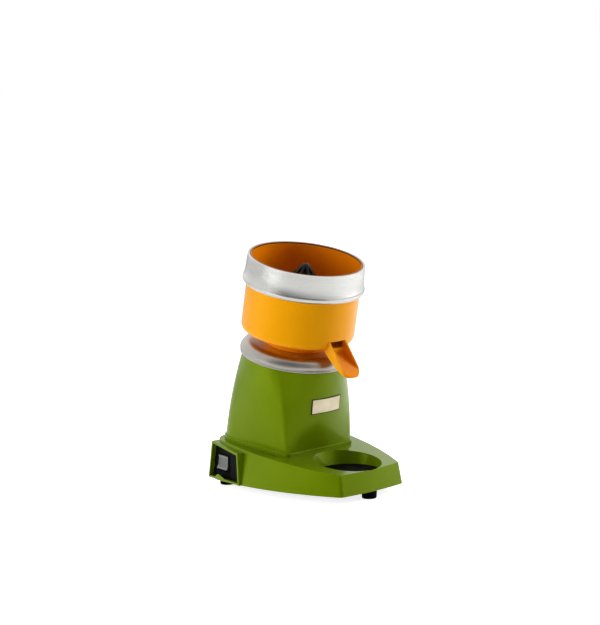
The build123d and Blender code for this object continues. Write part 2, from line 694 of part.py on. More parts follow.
def switch_bezel():
    """Moulded plate on the recess's floor, with a collar round the rocker."""
    plate = extrude(HOUSING_FACE.offset(-RECESS_DEPTH) * housing_outline(HOUSING_RIM + LOOSE_GAP), BEZEL_THICK)
    width = ROCKER_WIDTH + 2 * LOOSE_GAP
    height = 2 * (ROCKER_HALF_HEIGHT + ROCKER_PLAY) + ROCKER_DIP
    up = (Align.CENTER, Align.CENTER, Align.MIN)
    collar = Box(width + 2 * COLLAR_WALL, height + 2 * COLLAR_WALL, BEZEL_THICK + COLLAR_RISE, align=up)
    collar = chamfer(collar.edges().group_by(Axis.Z)[-1], BREAK_EDGE)
    plate += SWITCH_PLACE * collar
    return plate - SWITCH_PLACE * Box(width, height, BEZEL_THICK + COLLAR_RISE, align=up)


def rocker_pivot():
    """Place of the rocker's pivot, with X along its pin."""
    return SWITCH_PLACE * Pos(0, 0, -PIVOT_SET_BACK)


def switch_body():
    """Case of the switch behind the bezel, open to the rocker."""
    down = (Align.CENTER, Align.CENTER, Align.MAX)
    width = switch_body_width()
    height = switch_body_height()
    case = Box(width, height, SWITCH_DEPTH, align=down)
    pocket = Box(width - 2 * SWITCH_WALL, height - 2 * SWITCH_WALL, 2 * ROCKER_FACE, align=down)
    pin = Rot(0, 90, 0) * Cylinder(PIVOT_RADIUS + FIT_GAP, width)
    return SWITCH_PLACE * (case - pocket) - rocker_pivot() * pin


def switch_terminals():
    """Brass tabs at the back of the switch."""
    tab = Box(TAB_WIDTH, TAB_THICK, TAB_LENGTH, align=(Align.CENTER, Align.CENTER, Align.MAX))
    spots = GridLocations(0, TAB_PITCH, 1, 3)
    return [SWITCH_PLACE * Pos(0, 0, -SWITCH_DEPTH) * spot * tab for spot in spots]


def rocker_pin():
    """Pivot pin of the rocker, held in the switch's case."""
    return rocker_pivot() * Rot(0, 90, 0) * Cylinder(PIVOT_RADIUS, switch_body_width())


def switch_rocker():
    """Rocker with a dished face, at rest with its upper half pressed in."""
    half = ROCKER_HALF_HEIGHT
    face = make_face([
        Line((half, -ROCKER_BACK), (half, ROCKER_FACE)),
        ThreePointArc((half, ROCKER_FACE), (0, ROCKER_FACE - ROCKER_DIP), (-half, ROCKER_FACE)),
        Line((-half, ROCKER_FACE), (-half, -ROCKER_BACK)),
        Line((-half, -ROCKER_BACK), (half, -ROCKER_BACK)),
    ])
    block = extrude(Plane.YZ * face, ROCKER_WIDTH / 2, both=True)
    block -= Rot(0, 90, 0) * Cylinder(PIVOT_RADIUS + RUNNING_GAP, ROCKER_WIDTH)
    return rocker_pivot() * Rot(-ROCKER_REST, 0, 0) * block


def stator_core():
    """Laminated stator, as one stack with flats left out."""
    return MOTOR_AXIS * tube(STATOR_RADIUS, STATOR_BORE, STATOR_FOOT, STATOR_TOP)


def stator_windings():
    """End turns of the winding above and below the stack."""
    rings = []
    for low in (STATOR_TOP, STATOR_FOOT - WINDING_RISE):
        corners = [
            (WINDING_IN, low),
            (WINDING_OUT, low),
            (WINDING_OUT, low + WINDING_RISE),
            (WINDING_IN, low + WINDING_RISE),
        ]
        outer = (2, 3) if low == STATOR_TOP else (0, 1)
        rings.append(MOTOR_AXIS * turned(corners, [(corner, WINDING_ROUND) for corner in outer]))
    return rings


def ears(low, high):
    """Four bolt ears between two heights, with their holes."""
    lugs = []
    for spot in PolarLocations(EAR_PITCH, BOLT_COUNT, start_angle=45):
        lug = rod(EAR_RADIUS, low, high)
        web = Pos(-EAR_RADIUS, 0, low) * Box(
            2 * EAR_RADIUS, 2 * EAR_RADIUS, high - low, align=(Align.CENTER, Align.CENTER, Align.MIN)
        )
        lugs.append(spot * (lug + web))
    return lugs


def end_shield(plate_low, plate_high, skirt_end, hub_low, hub_high, seat_low):
    """A motor end shield: plate, skirt over the stack, bearing hub and bolt ears."""
    skirt = STATOR_RADIUS + FIT_GAP
    shield = rod(skirt + SHIELD_WALL, plate_low, plate_high) + rod(SHIELD_HUB, hub_low, hub_high)
    shield += rod(skirt + SHIELD_WALL, min(plate_low, skirt_end), max(plate_high, skirt_end))
    for lug in ears(min(plate_low, skirt_end), max(plate_high, skirt_end)):
        shield += lug
    shield -= rod(skirt, min(plate_high, skirt_end), max(plate_low, skirt_end))
    shield -= rod(BEARING_OUT + FIT_GAP, seat_low, seat_low + BEARING_WIDTH)
    shield -= rod(SHAFT_RADIUS + LOOSE_GAP, SHAFT_FOOT, HUB_TOP)
    for spot in PolarLocations(EAR_PITCH, BOLT_COUNT, start_angle=45):
        shield -= spot * rod(BOLT_RADIUS + FIT_GAP, SHAFT_FOOT, HUB_TOP)
    return MOTOR_AXIS * shield


def upper_end_shield():
    """End shield under the tower's deck; its hub reaches up into the deck's bore."""
    plate_low = DECK_UNDER - SHIELD_PLATE
    hub_high = UPPER_BEARING + BEARING_WIDTH + SHIELD_WALL / 2
    return end_shield(plate_low, DECK_UNDER, STATOR_TOP - SHIELD_LAP, plate_low, hub_high, UPPER_BEARING)


def lower_end_shield():
    """End shield at the motor's foot, with the lower bearing."""
    plate_high = STATOR_FOOT - WINDING_RISE - AIR_GAP
    plate_low = plate_high - SHIELD_PLATE
    hub_low = LOWER_BEARING - SHIELD_WALL / 2
    return end_shield(plate_low, plate_high, STATOR_FOOT + SHIELD_LAP, hub_low, plate_high, LOWER_BEARING)


def motor_bolts():
    """Long bolts that clamp both end shields and hang the motor from the deck."""
    low = STATOR_FOOT - WINDING_RISE - AIR_GAP - SHIELD_PLATE
    one = screw(BOLT_RADIUS, BOLT_HEAD_RADIUS, BOLT_HEAD, DECK_UNDER + BOLT_BITE - LOOSE_GAP - low)
    spots = PolarLocations(EAR_PITCH, BOLT_COUNT, start_angle=45)
    return [MOTOR_AXIS * spot * Pos(0, 0, low) * one for spot in spots]


def race(low):
    """Torus that the balls of the bearing at a height run in, with its play."""
    middle = (BEARING_IN + BEARING_OUT) / 2
    return Pos(0, 0, low + BEARING_WIDTH / 2) * Torus(middle, BALL_RADIUS + BALL_GAP)


def bearing_outer_rings():
    """Outer rings of both bearings."""
    rings = []
    for low in (UPPER_BEARING, LOWER_BEARING):
        ring = tube(BEARING_OUT, BEARING_OUT - RACE_SHOULDER - FIT_GAP, low, low + BEARING_WIDTH)
        rings.append(MOTOR_AXIS * (ring - race(low)))
    return rings


def bearing_inner_rings():
    """Inner rings of both bearings, on the shaft."""
    rings = []
    for low in (UPPER_BEARING, LOWER_BEARING):
        ring = tube(BEARING_IN + RACE_SHOULDER, BEARING_IN + FIT_GAP, low, low + BEARING_WIDTH)
        rings.append(MOTOR_AXIS * (ring - race(low)))
    return rings


def bearing_balls():
    """Balls of both bearings, each set in its cage."""
    sets = []
    middle = (BEARING_IN + BEARING_OUT) / 2
    for low in (UPPER_BEARING, LOWER_BEARING):
        centre = low + BEARING_WIDTH / 2
        cage = tube(middle + CAGE_THICK / 2, middle - CAGE_THICK / 2, centre - CAGE_WIDTH / 2, centre + CAGE_WIDTH / 2)
        for spot in PolarLocations(middle, BALL_COUNT):
            cage += Pos(0, 0, centre) * spot * Sphere(BALL_RADIUS)
        sets.append(MOTOR_AXIS * cage)
    return sets


def motor_shaft():
    """Stepped shaft, from the fan up to the reamer, cross-drilled for the drive pin."""
    outline = [
        (0, SHAFT_FOOT),
        (SLIM_RADIUS, SHAFT_FOOT),
        (SLIM_RADIUS, LOWER_BEARING + BEARING_WIDTH),
        (SHAFT_RADIUS, LOWER_BEARING + BEARING_WIDTH),
        (SHAFT_RADIUS, UPPER_BEARING),
        (SLIM_RADIUS, UPPER_BEARING),
        (SLIM_RADIUS, SHAFT_TOP - BREAK_EDGE),
        (SLIM_RADIUS - BREAK_EDGE, SHAFT_TOP),
        (0, SHAFT_TOP),
    ]
    hole = Pos(0, 0, PIN_HEIGHT) * Rot(0, 90, 0) * Cylinder(PIN_RADIUS + FIT_GAP, 2 * PIN_HALF)
    return MOTOR_AXIS * (turned(outline) - hole)


def drive_pin():
    """Cross pin that turns the reamer."""
    return MOTOR_AXIS * Pos(0, 0, PIN_HEIGHT) * Rot(0, 90, 0) * Cylinder(PIN_RADIUS, 2 * PIN_HALF)


def rotor_core():
    """Rotor stack on the shaft."""
    return MOTOR_AXIS * tube(STATOR_BORE - AIR_GAP, SHAFT_RADIUS + FIT_GAP, STATOR_FOOT, STATOR_TOP)


def cooling_fan():
    """Bladed fan on the shaft's lower end."""
    bore = SLIM_RADIUS + FIT_GAP
    foot = FAN_TOP - FAN_DEPTH
    fan = tube(FAN_RADIUS, bore, foot - FAN_PLATE, foot) + tube(FAN_HUB, bore, foot, FAN_TOP)
    length = FAN_RADIUS - FAN_HUB
    blade = Pos(FAN_HUB + length / 2 - FAN_BLADE, 0, foot) * Box(
        length, FAN_BLADE, FAN_DEPTH, align=(Align.CENTER, Align.CENTER, Align.MIN)
    )
    for spot in PolarLocations(0, FAN_BLADES):
        fan += spot * blade
    return MOTOR_AXIS * fan


def run_capacitor():
    """Motor capacitor, lying in its clip on the bottom plate."""
    can = Cylinder(CAPACITOR_RADIUS, CAPACITOR_LENGTH)
    can = fillet(can.edges(), BREAK_EDGE)
    for x in (-CAPACITOR_RADIUS / 2, CAPACITOR_RADIUS / 2):
        can += Pos(x, 0, CAPACITOR_LENGTH / 2) * Box(TAB_WIDTH, TAB_THICK, 2 * TAB_LENGTH)
    return Pos(*CAPACITOR_AT, PLATE_UPPER + CLIP_SHEET + CAPACITOR_RADIUS) * Rot(-90, 0, 0) * can


def capacitor_clip():
    """Sheet clip round the capacitor, with feet on the bottom plate."""
    inner = CAPACITOR_RADIUS + FIT_GAP
    outer = CAPACITOR_RADIUS + CLIP_SHEET
    band = Circle(outer) + Pos(0, -outer + CLIP_SHEET / 2) * Rectangle(2 * outer + CLIP_FOOT, CLIP_SHEET)
    band -= Circle(inner)
    clip = extrude(Plane.XZ * band, CLIP_WIDTH / 2, both=True)
    return Pos(*CAPACITOR_AT, PLATE_UPPER + outer) * clip


def terminal_block():
    """Moulded terminal block on the bottom plate."""
    up = (Align.CENTER, Align.CENTER, Align.MIN)
    block = Box(BLOCK_LENGTH, BLOCK_WIDTH, BLOCK_HEIGHT, align=up)
    pitch = BLOCK_LENGTH / BLOCK_WAYS
    for spot in GridLocations(pitch, BLOCK_WIDTH / 2, BLOCK_WAYS, 2):
        block -= spot * rod(BLOCK_WELL, BLOCK_HEIGHT / 2, BLOCK_HEIGHT)
    return Pos(*BLOCK_AT, PLATE_UPPER) * block


def bowl_outline():
    """Outer form of the bowl, filled, with the ring it stands on and the socket that fits the spigot."""
    socket = SPIGOT_RADIUS + LOOSE_GAP
    outline = [
        (CHIMNEY_BORE, CHIMNEY_TOP),
        (CHIMNEY_BORE, SOCKET_TOP),
        (socket, SOCKET_TOP),
        (socket, COLLAR_TOP),
        (socket + BOWL_WALL, COLLAR_TOP),
        (socket + BOWL_WALL, BOWL_UNDER),
        (BOWL_STAND_RADIUS - BOWL_WALL, BOWL_UNDER),
        (BOWL_STAND_RADIUS - BOWL_WALL, COLLAR_TOP),
        (BOWL_STAND_RADIUS, COLLAR_TOP),
        (BOWL_STAND_RADIUS, BOWL_UNDER),
        (BOWL_RADIUS, BOWL_UNDER),
        (BOWL_RADIUS, BOWL_RIM),
        (CHIMNEY_BORE, BOWL_RIM),
    ]
    return turned(outline, [(10, BOWL_ROUND)])


def bowl_hollow():
    """Inside of the bowl, round the chimney."""
    inner = BOWL_RADIUS - BOWL_WALL
    socket = SPIGOT_RADIUS + LOOSE_GAP + BOWL_WALL
    chimney = CHIMNEY_BORE + CHIMNEY_WALL
    outline = [
        (0, BOWL_RIM),
        (0, CHIMNEY_TOP),
        (chimney, CHIMNEY_TOP),
        (chimney, SOCKET_TOP + BOWL_WALL),
        (socket, SOCKET_TOP + BOWL_WALL),
        (socket, BOWL_UNDER + BOWL_FLOOR),
        (inner, BOWL_UNDER + BOWL_FLOOR),
        (inner, BOWL_RIM),
    ]
    return turned(outline, [(6, BOWL_ROUND - BOWL_WALL)])


def spout_side(lift, brow, reach):
    """Side profile of the spout from the bowl's floor to its tip, lifted off its underside."""
    start = (-BOWL_RADIUS + BOWL_ROUND, BOWL_UNDER + lift)
    tip = (-reach, SPOUT_TIP + lift)
    middle = ((start[0] + tip[0]) / 2, (start[1] + tip[1]) / 2 - SPOUT_SAG / 2)
    shoulder = (-BOWL_RADIUS, brow)
    return make_face([
        ThreePointArc(start, middle, tip),
        Line(tip, (tip[0], SPOUT_TIP + lift + SPOUT_LIP)),
        Line((tip[0], SPOUT_TIP + lift + SPOUT_LIP), shoulder),
        Line(shoulder, (start[0], brow)),
        Line((start[0], brow), start),
    ])


def spout_block():
    """Outer form of the spout, with its tip rounded in plan."""
    block = extrude(Plane.YZ * spout_side(0, SPOUT_BROW, SPOUT_REACH), SPOUT_HALF, both=True)
    plan = Pos(0, -SPOUT_REACH / 2) * Rectangle(2 * SPOUT_HALF, SPOUT_REACH)
    plan = fillet(plan.vertices().group_by(Axis.Y)[0], SPOUT_TIP_ROUND)
    return block & extrude(plan, BOWL_RIM)


def spout_channel():
    """Hollow of the spout's trough in front of the bowl, and its mouth through the bowl's wall."""
    half = SPOUT_HALF - SPOUT_WALL
    reach = SPOUT_REACH + SPOUT_TIP_ROUND
    trough = extrude(Plane.YZ * spout_side(SPOUT_WALL, REACH, reach), half, both=True)
    trough -= rod(BOWL_RADIUS, 0, REACH)
    floor = BOWL_UNDER + BOWL_FLOOR
    mouth = Pos(0, -BOWL_RADIUS, floor) * Box(
        2 * half, 3 * BOWL_ROUND, SPOUT_MOUTH, align=(Align.CENTER, Align.CENTER, Align.MIN)
    )
    return trough + mouth


def bowl():
    """Juice bowl with its spout, the ribs that carry the strainer and the key slot in its socket."""
    body = bowl_outline() + spout_block() - bowl_hollow()
    inner = BOWL_RADIUS - BOWL_WALL
    rib = Pos(inner - RIB_DEPTH, 0, BOWL_UNDER + BOWL_ROUND) * Box(
        RIB_DEPTH + BOWL_WALL / 2,
        RIB_WIDTH,
        STRAINER_REST - BOWL_UNDER - BOWL_ROUND,
        align=(Align.MIN, Align.CENTER, Align.MIN),
    )
    for spot in PolarLocations(0, RIB_COUNT, start_angle=90):
        body += spot * rib
    socket = SPIGOT_RADIUS + LOOSE_GAP
    slot = Pos(0, socket - BOWL_WALL, COLLAR_TOP) * Box(
        KEY_WIDTH + 2 * LOOSE_GAP,
        KEY_REACH + BOWL_WALL,
        SPIGOT_RISE + LOOSE_GAP,
        align=(Align.CENTER, Align.MIN, Align.MIN),
    )
    cover = Pos(0, socket + BOWL_WALL / 2, COLLAR_TOP) * Box(
        KEY_WIDTH + 2 * LOOSE_GAP + 2 * BOWL_WALL,
        KEY_REACH + BOWL_WALL,
        SPIGOT_RISE + BOWL_WALL,
        align=(Align.CENTER, Align.MIN, Align.MIN),
    )
    return MOTOR_AXIS * (body + cover - slot - spout_channel())


def splash_band():
    """Spun guard round the bowl's mouth, flared out to a bead and turned in at its foot."""
    seat = BOWL_RADIUS + FIT_GAP
    top = (BOWL_RADIUS + BAND_STAND, BOWL_RIM)
    step = (BOWL_RADIUS + BAND_STEP_STAND, BAND_STEP)
    flare = (BOWL_RADIUS + BAND_FLARE_STAND, BAND_FLARE)
    waist = ((2 * step[0] + flare[0]) / 3, (BAND_STEP + BAND_FLARE) / 2)
    bead = (BOWL_RADIUS + BAND_BEAD_STAND, BAND_BEAD)
    foot = (seat + BAND_SHEET, BAND_FOOT)
    section = make_face([
        Line((seat, BOWL_RIM), top),
        Line(top, step),
        ThreePointArc(step, waist, flare),
        ThreePointArc(flare, bead, foot),
        Line(foot, (seat, BAND_FOOT)),
        Line((seat, BAND_FOOT), (seat, BAND_FOOT + BAND_SHEET)),
        Line((seat, BAND_FOOT + BAND_SHEET), (bead[0] - BAND_SHEET, BAND_BEAD)),
        Line((bead[0] - BAND_SHEET, BAND_BEAD), (flare[0] - BAND_SHEET, BAND_FLARE)),
        Line((flare[0] - BAND_SHEET, BAND_FLARE), (seat, BAND_STEP)),
        Line((seat, BAND_STEP), (seat, BOWL_RIM)),
    ])
    return MOTOR_AXIS * revolve(Plane.XZ * section, Axis.Z)


def strainer():
    """Slotted basket that hangs on the bowl's ribs, with a neck that carries the reamer's bush."""
    bore = BUSH_RADIUS + LOOSE_GAP / 2
    neck = bore + NECK_WALL
    top = STRAINER_FLOOR + STRAINER_SHEET
    rest = STRAINER_REST + STRAINER_SHEET
    outline = [
        (bore, NECK_FOOT),
        (neck, NECK_FOOT),
        (neck, STRAINER_FLOOR),
        (STRAINER_FLOOR_RADIUS, STRAINER_FLOOR),
        (STRAINER_WALL_RADIUS, STRAINER_REST),
        (STRAINER_FLANGE_RADIUS, STRAINER_REST),
        (STRAINER_FLANGE_RADIUS, rest),
        (STRAINER_WALL_RADIUS - STRAINER_SHEET, rest),
        (STRAINER_FLOOR_RADIUS - STRAINER_SHEET, top),
        (neck, top),
        (neck, NECK_TOP),
        (bore, NECK_TOP),
    ]
    basket = turned(outline)
    near = BUSH_RADIUS + SLOT_INNER_MARGIN
    length = (STRAINER_FLOOR_RADIUS - SLOT_OUTER_MARGIN - near - SLOT_BRIDGE) / 2
    slot = Box(length, SLOT_WIDTH, 4 * STRAINER_SHEET, align=(Align.MIN, Align.CENTER, Align.CENTER))
    for row in (0, 1):
        start = Pos(near + row * (length + SLOT_BRIDGE), 0, STRAINER_FLOOR)
        for spot in PolarLocations(0, SLOT_COUNT, start_angle=row * 180 / SLOT_COUNT):
            basket -= spot * start * slot
    return MOTOR_AXIS * basket


def reamer_bush():
    """Flanged bush in the strainer's neck that guides and carries the reamer."""
    outline = [
        (BUSH_BORE + RUNNING_GAP, STUB_FOOT),
        (BUSH_RADIUS, STUB_FOOT),
        (BUSH_RADIUS, NECK_TOP),
        (BUSH_FLANGE, NECK_TOP),
        (BUSH_FLANGE, REAMER_FOOT),
        (BUSH_BORE + RUNNING_GAP, REAMER_FOOT),
    ]
    return MOTOR_AXIS * turned(outline)


def cone_section(grow):
    """Half section of the squeezing cone above its rim, grown by an even margin and rounded at the nose."""
    foot = REAMER_FOOT + REAMER_RIM
    base = REAMER_RADIUS - RIB_STAND + grow
    nose = REAMER_NOSE + grow / 2
    shoulder = (REAMER_SHOULDER_RADIUS + grow, REAMER_SHOULDER)
    return make_face([
        Line((0, foot), (base, foot)),
        ThreePointArc((base, foot), shoulder, (nose, REAMER_TIP - RIB_STAND + grow - nose / 2)),
        Line((nose, REAMER_TIP - RIB_STAND + grow - nose / 2), (0, REAMER_TIP - RIB_STAND + grow)),
        Line((0, REAMER_TIP - RIB_STAND + grow), (0, foot)),
    ])


def reamer():
    """Ribbed squeezing cone with a stub for the bush and a slot for the drive pin."""
    bore = SLIM_RADIUS + LOOSE_GAP
    cone = revolve(Plane.XZ * cone_section(0), Axis.Z)
    fin = extrude(Plane.XZ * cone_section(RIB_STAND), RIB_THICK / 2, both=True)
    for spot in PolarLocations(0, REAMER_RIBS, start_angle=180 / REAMER_RIBS):
        cone += spot * fin
    cone += rod(REAMER_RADIUS, REAMER_FOOT, REAMER_FOOT + REAMER_RIM)
    cone += rod(BUSH_BORE, STUB_FOOT, REAMER_FOOT)
    ceiling = REAMER_FOOT + HOLLOW_RISE
    cone -= turned([
        (HOLLOW_IN, REAMER_FOOT),
        (HOLLOW_OUT, REAMER_FOOT),
        (HOLLOW_TOP_OUT, ceiling),
        (HOLLOW_IN, ceiling),
    ])
    cone -= rod(bore, STUB_FOOT, SHAFT_TOP + LOOSE_GAP)
    width = 2 * (PIN_RADIUS + LOOSE_GAP)
    top = PIN_HEIGHT + PIN_RADIUS + LOOSE_GAP
    cone -= Pos(0, 0, STUB_FOOT) * Box(
        2 * (PIN_HALF + LOOSE_GAP), width, top - STUB_FOOT, align=(Align.CENTER, Align.CENTER, Align.MIN)
    )
    return MOTOR_AXIS * cone


MAKERS = (
    body_casting, glass_mat, bottom_plate, bottom_plate_screws, foot_screws, foot_nuts, cable_gland,
    nameplate, collar_ring, seal_housing, seal_housing_screws, shaft_seal, switch_bezel, switch_body,
    switch_terminals, rocker_pin, switch_rocker, stator_core, stator_windings, upper_end_shield,
    lower_end_shield, motor_bolts, bearing_outer_rings, bearing_inner_rings, bearing_balls, motor_shaft,
    drive_pin, rotor_core, cooling_fan, run_capacitor, capacitor_clip, terminal_block, bowl, splash_band,
    strainer, reamer_bush, reamer,
)


def all_nodes():
    """Builds every piece and gives its solids by node name."""
    nodes = {maker.__name__: maker() for maker in MAKERS}
    for name, spot in FOOT_SPOTS.items():
        nodes[name] = rubber_foot(spot)
    return {name: made if isinstance(made, list) else [made] for name, made in nodes.items()}


def main():
    """Centres the juicer over the origin and writes one file for each node."""
    nodes = all_nodes()
    solids = {name: [solid for made in pieces for solid in made.solids()] for name, pieces in nodes.items()}
    box = Compound([solid for group in solids.values() for solid in group]).bounding_box()
    centre = Pos(-(box.min.X + box.max.X) / 2, -(box.min.Y + box.max.Y) / 2, -box.min.Z)
    os.makedirs("parts", exist_ok=True)
    for name, group in solids.items():
        moved = [centre * solid for solid in group]
        export_step(moved[0] if len(moved) == 1 else Compound(moved), f"parts/{name}.step")
    print("size", box.size, "moved by", centre.position)


if __name__ == "__main__":
    main()
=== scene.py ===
import json
import logging
import math
from dataclasses import dataclass
from enum import Enum
from functools import cache
from typing import Any, Callable, ClassVar, Sequence

import bmesh
import bpy
from mathutils import Matrix, Vector


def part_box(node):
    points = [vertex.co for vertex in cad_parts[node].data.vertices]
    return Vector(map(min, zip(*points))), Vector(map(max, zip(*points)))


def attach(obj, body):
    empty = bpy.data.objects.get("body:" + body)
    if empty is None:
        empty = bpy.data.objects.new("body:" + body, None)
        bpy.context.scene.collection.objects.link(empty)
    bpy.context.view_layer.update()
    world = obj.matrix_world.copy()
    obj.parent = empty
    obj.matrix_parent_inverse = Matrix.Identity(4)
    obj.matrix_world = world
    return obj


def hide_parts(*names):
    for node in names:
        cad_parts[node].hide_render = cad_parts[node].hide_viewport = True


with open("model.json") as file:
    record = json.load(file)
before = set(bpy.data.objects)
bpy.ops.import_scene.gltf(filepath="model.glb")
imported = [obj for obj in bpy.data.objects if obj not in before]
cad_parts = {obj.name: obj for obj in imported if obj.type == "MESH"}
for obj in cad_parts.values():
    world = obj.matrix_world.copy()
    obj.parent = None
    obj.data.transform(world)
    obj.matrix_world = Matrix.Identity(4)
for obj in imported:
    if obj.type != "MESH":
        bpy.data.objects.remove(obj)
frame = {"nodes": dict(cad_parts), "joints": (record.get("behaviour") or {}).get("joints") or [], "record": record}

LOG = logging.getLogger("juicer")
MM = 0.001
TINY = 1e-6
SMOOTH_UNDER = math.radians(38.0)
WHITE = (1.0, 1.0, 1.0, 1.0)
Point = tuple[float, float]
Triple = tuple[float, float, float]
Screen = tuple[int, int, int]
Colour = tuple[float, float, float, float]
Socket = bpy.types.NodeSocket
Outputs = bpy.types.NodeOutputs
Tree = bpy.types.NodeTree
Piece = bpy.types.Object


def linear(colour: Screen) -> Colour:
    """Turns a screen colour into the linear one that shaders take.

    Args:
        colour: Red, green and blue from 0 to 255.

    Returns:
        The linear colour with full alpha.
    """
    shares = [value / 255 for value in colour]
    curve = [share / 12.92 if share <= 0.04045 else ((share + 0.055) / 1.055) ** 2.4 for share in shares]
    return (*curve, 1.0)


def joint_named(name: str) -> dict[str, Any]:
    """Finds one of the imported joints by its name."""
    return next(joint for joint in frame["joints"] if joint["name"] == name)


class Wiring:
    """Adds nodes to a shader or geometry tree and links them."""

    def __init__(self, tree: Tree) -> None:
        """Holds the tree that is wired."""
        self.tree = tree

    @classmethod
    def cleared(cls, owner: bpy.types.Material | bpy.types.World) -> "Wiring":
        """Starts on the emptied tree of a material or world.

        Args:
            owner: The material or world.

        Returns:
            The wiring of its tree.
        """
        owner.use_nodes = True
        owner.node_tree.nodes.clear()
        return cls(owner.node_tree)

    @classmethod
    def group(cls, name: str, kind: str, takes: dict[str, str], gives: dict[str, str]) -> tuple["Wiring", Outputs]:
        """Starts a node group with named sockets.

        Args:
            name: Name of the group.
            kind: ShaderNodeTree or GeometryNodeTree.
            takes: Input names with their socket types, without the NodeSocket prefix.
            gives: Output names with their socket types.

        Returns:
            The wiring of the new group and the sockets that it is given.
        """
        tree = bpy.data.node_groups.new(name, kind)
        for side, sockets in (("INPUT", takes), ("OUTPUT", gives)):
            for key, form in sockets.items():
                tree.interface.new_socket(key, in_out=side, socket_type=f"NodeSocket{form}")
        wire = cls(tree)
        return wire, wire.node("NodeGroupInput").outputs

    def node(self, kind: str, values: dict[Any, Any] | None = None, **settings: Any) -> bpy.types.Node:
        """Adds one node.

        Args:
            kind: Blender's name of the node type.
            values: Input sockets, by name or number, with a socket to link or a value to set.
            **settings: Properties of the node itself.

        Returns:
            The new node.
        """
        made = self.tree.nodes.new(kind)
        for key, value in settings.items():
            setattr(made, key, value)
        for key, value in (values or {}).items():
            if isinstance(value, Socket):
                self.tree.links.new(value, made.inputs[key])
            else:
                made.inputs[key].default_value = value
        return made

    def math(self, operation: str, first: Any, second: Any = 0.0) -> Socket:
        """Adds a Math node for two sockets or numbers."""
        return self.node("ShaderNodeMath", {0: first, 1: second}, operation=operation).outputs[0]

    def times(self, first: Any, second: Any) -> Socket:
        """Multiplies two sockets or numbers."""
        return self.math("MULTIPLY", first, second)

    def ranged(self, value: Any, low: Any, high: Any, to_low: Any, to_high: Any) -> Socket:
        """Maps a value smoothly, so that low gives to_low and high gives to_high."""
        numbers = {"Value": value, "From Min": low, "From Max": high, "To Min": to_low, "To Max": to_high}
        return self.node("ShaderNodeMapRange", numbers, interpolation_type="SMOOTHSTEP").outputs["Result"]

    def parts(self, vector: Socket) -> Outputs:
        """Splits a vector into X, Y and Z."""
        return self.node("ShaderNodeSeparateXYZ", {0: vector}).outputs

    def vector(self, x: Any = 0.0, y: Any = 0.0, z: Any = 0.0) -> Socket:
        """Joins three sockets or numbers to a vector."""
        return self.node("ShaderNodeCombineXYZ", {0: x, 1: y, 2: z}).outputs[0]

    def radius(self, parts: Outputs) -> Socket:
        """Gives the distance from the Z axis."""
        flat = self.vector(parts[0], parts[1])
        return self.node("ShaderNodeVectorMath", {0: flat}, operation="LENGTH").outputs["Value"]

    def noise(self, place: Socket, scale: Any, detail: float, roughness: float = 0.5, **settings: Any) -> Outputs:
        """Adds a noise texture and gives the sockets of its value and its colour."""
        numbers = {"Vector": place, "Scale": scale, "Detail": detail, "Roughness": roughness}
        return self.node("ShaderNodeTexNoise", numbers, **settings).outputs

    def blend(self, share: Socket, first: Any, second: Any) -> Socket:
        """Mixes two colours, each a socket or a value with alpha, by the share of the second."""
        return self.node("ShaderNodeMix", {0: share, 6: first, 7: second}, data_type="RGBA").outputs[2]

    def lifted(self, shape: Socket, height: Any, turn: Any = 0.0) -> Socket:
        """Moves a shape along Z and turns it about Z."""
        numbers = {"Geometry": shape, "Translation": self.vector(z=height), "Rotation": self.vector(z=turn)}
        return self.node("GeometryNodeTransform", numbers).outputs[0]

    def boolean(self, operation: str, shapes: Sequence[Socket], base: Socket | None = None) -> Socket:
        """Joins shapes, or cuts them from a base.

        Args:
            operation: UNION or DIFFERENCE.
            shapes: Shapes that are joined or cut away.
            base: Shape that is cut.

        Returns:
            The result's socket.
        """
        made = self.node("GeometryNodeMeshBoolean", operation=operation, solver="EXACT")
        if base is not None:
            self.tree.links.new(base, made.inputs["Mesh 1"])
        for shape in shapes:
            self.tree.links.new(shape, made.inputs["Mesh 2"])
        return made.outputs[0]

    def give_shape(self, shape: Socket, finish: Socket) -> Tree:
        """Ends a Geometry Nodes tree with a shape in one material.

        Args:
            shape: The shape, which may still be instances.
            finish: The material's socket.

        Returns:
            The finished tree.
        """
        real = self.node("GeometryNodeRealizeInstances", {0: shape}).outputs[0]
        painted = self.node("GeometryNodeSetMaterial", {"Geometry": real, "Material": finish}).outputs[0]
        self.node("NodeGroupOutput", {"Geometry": painted})
        return self.tree


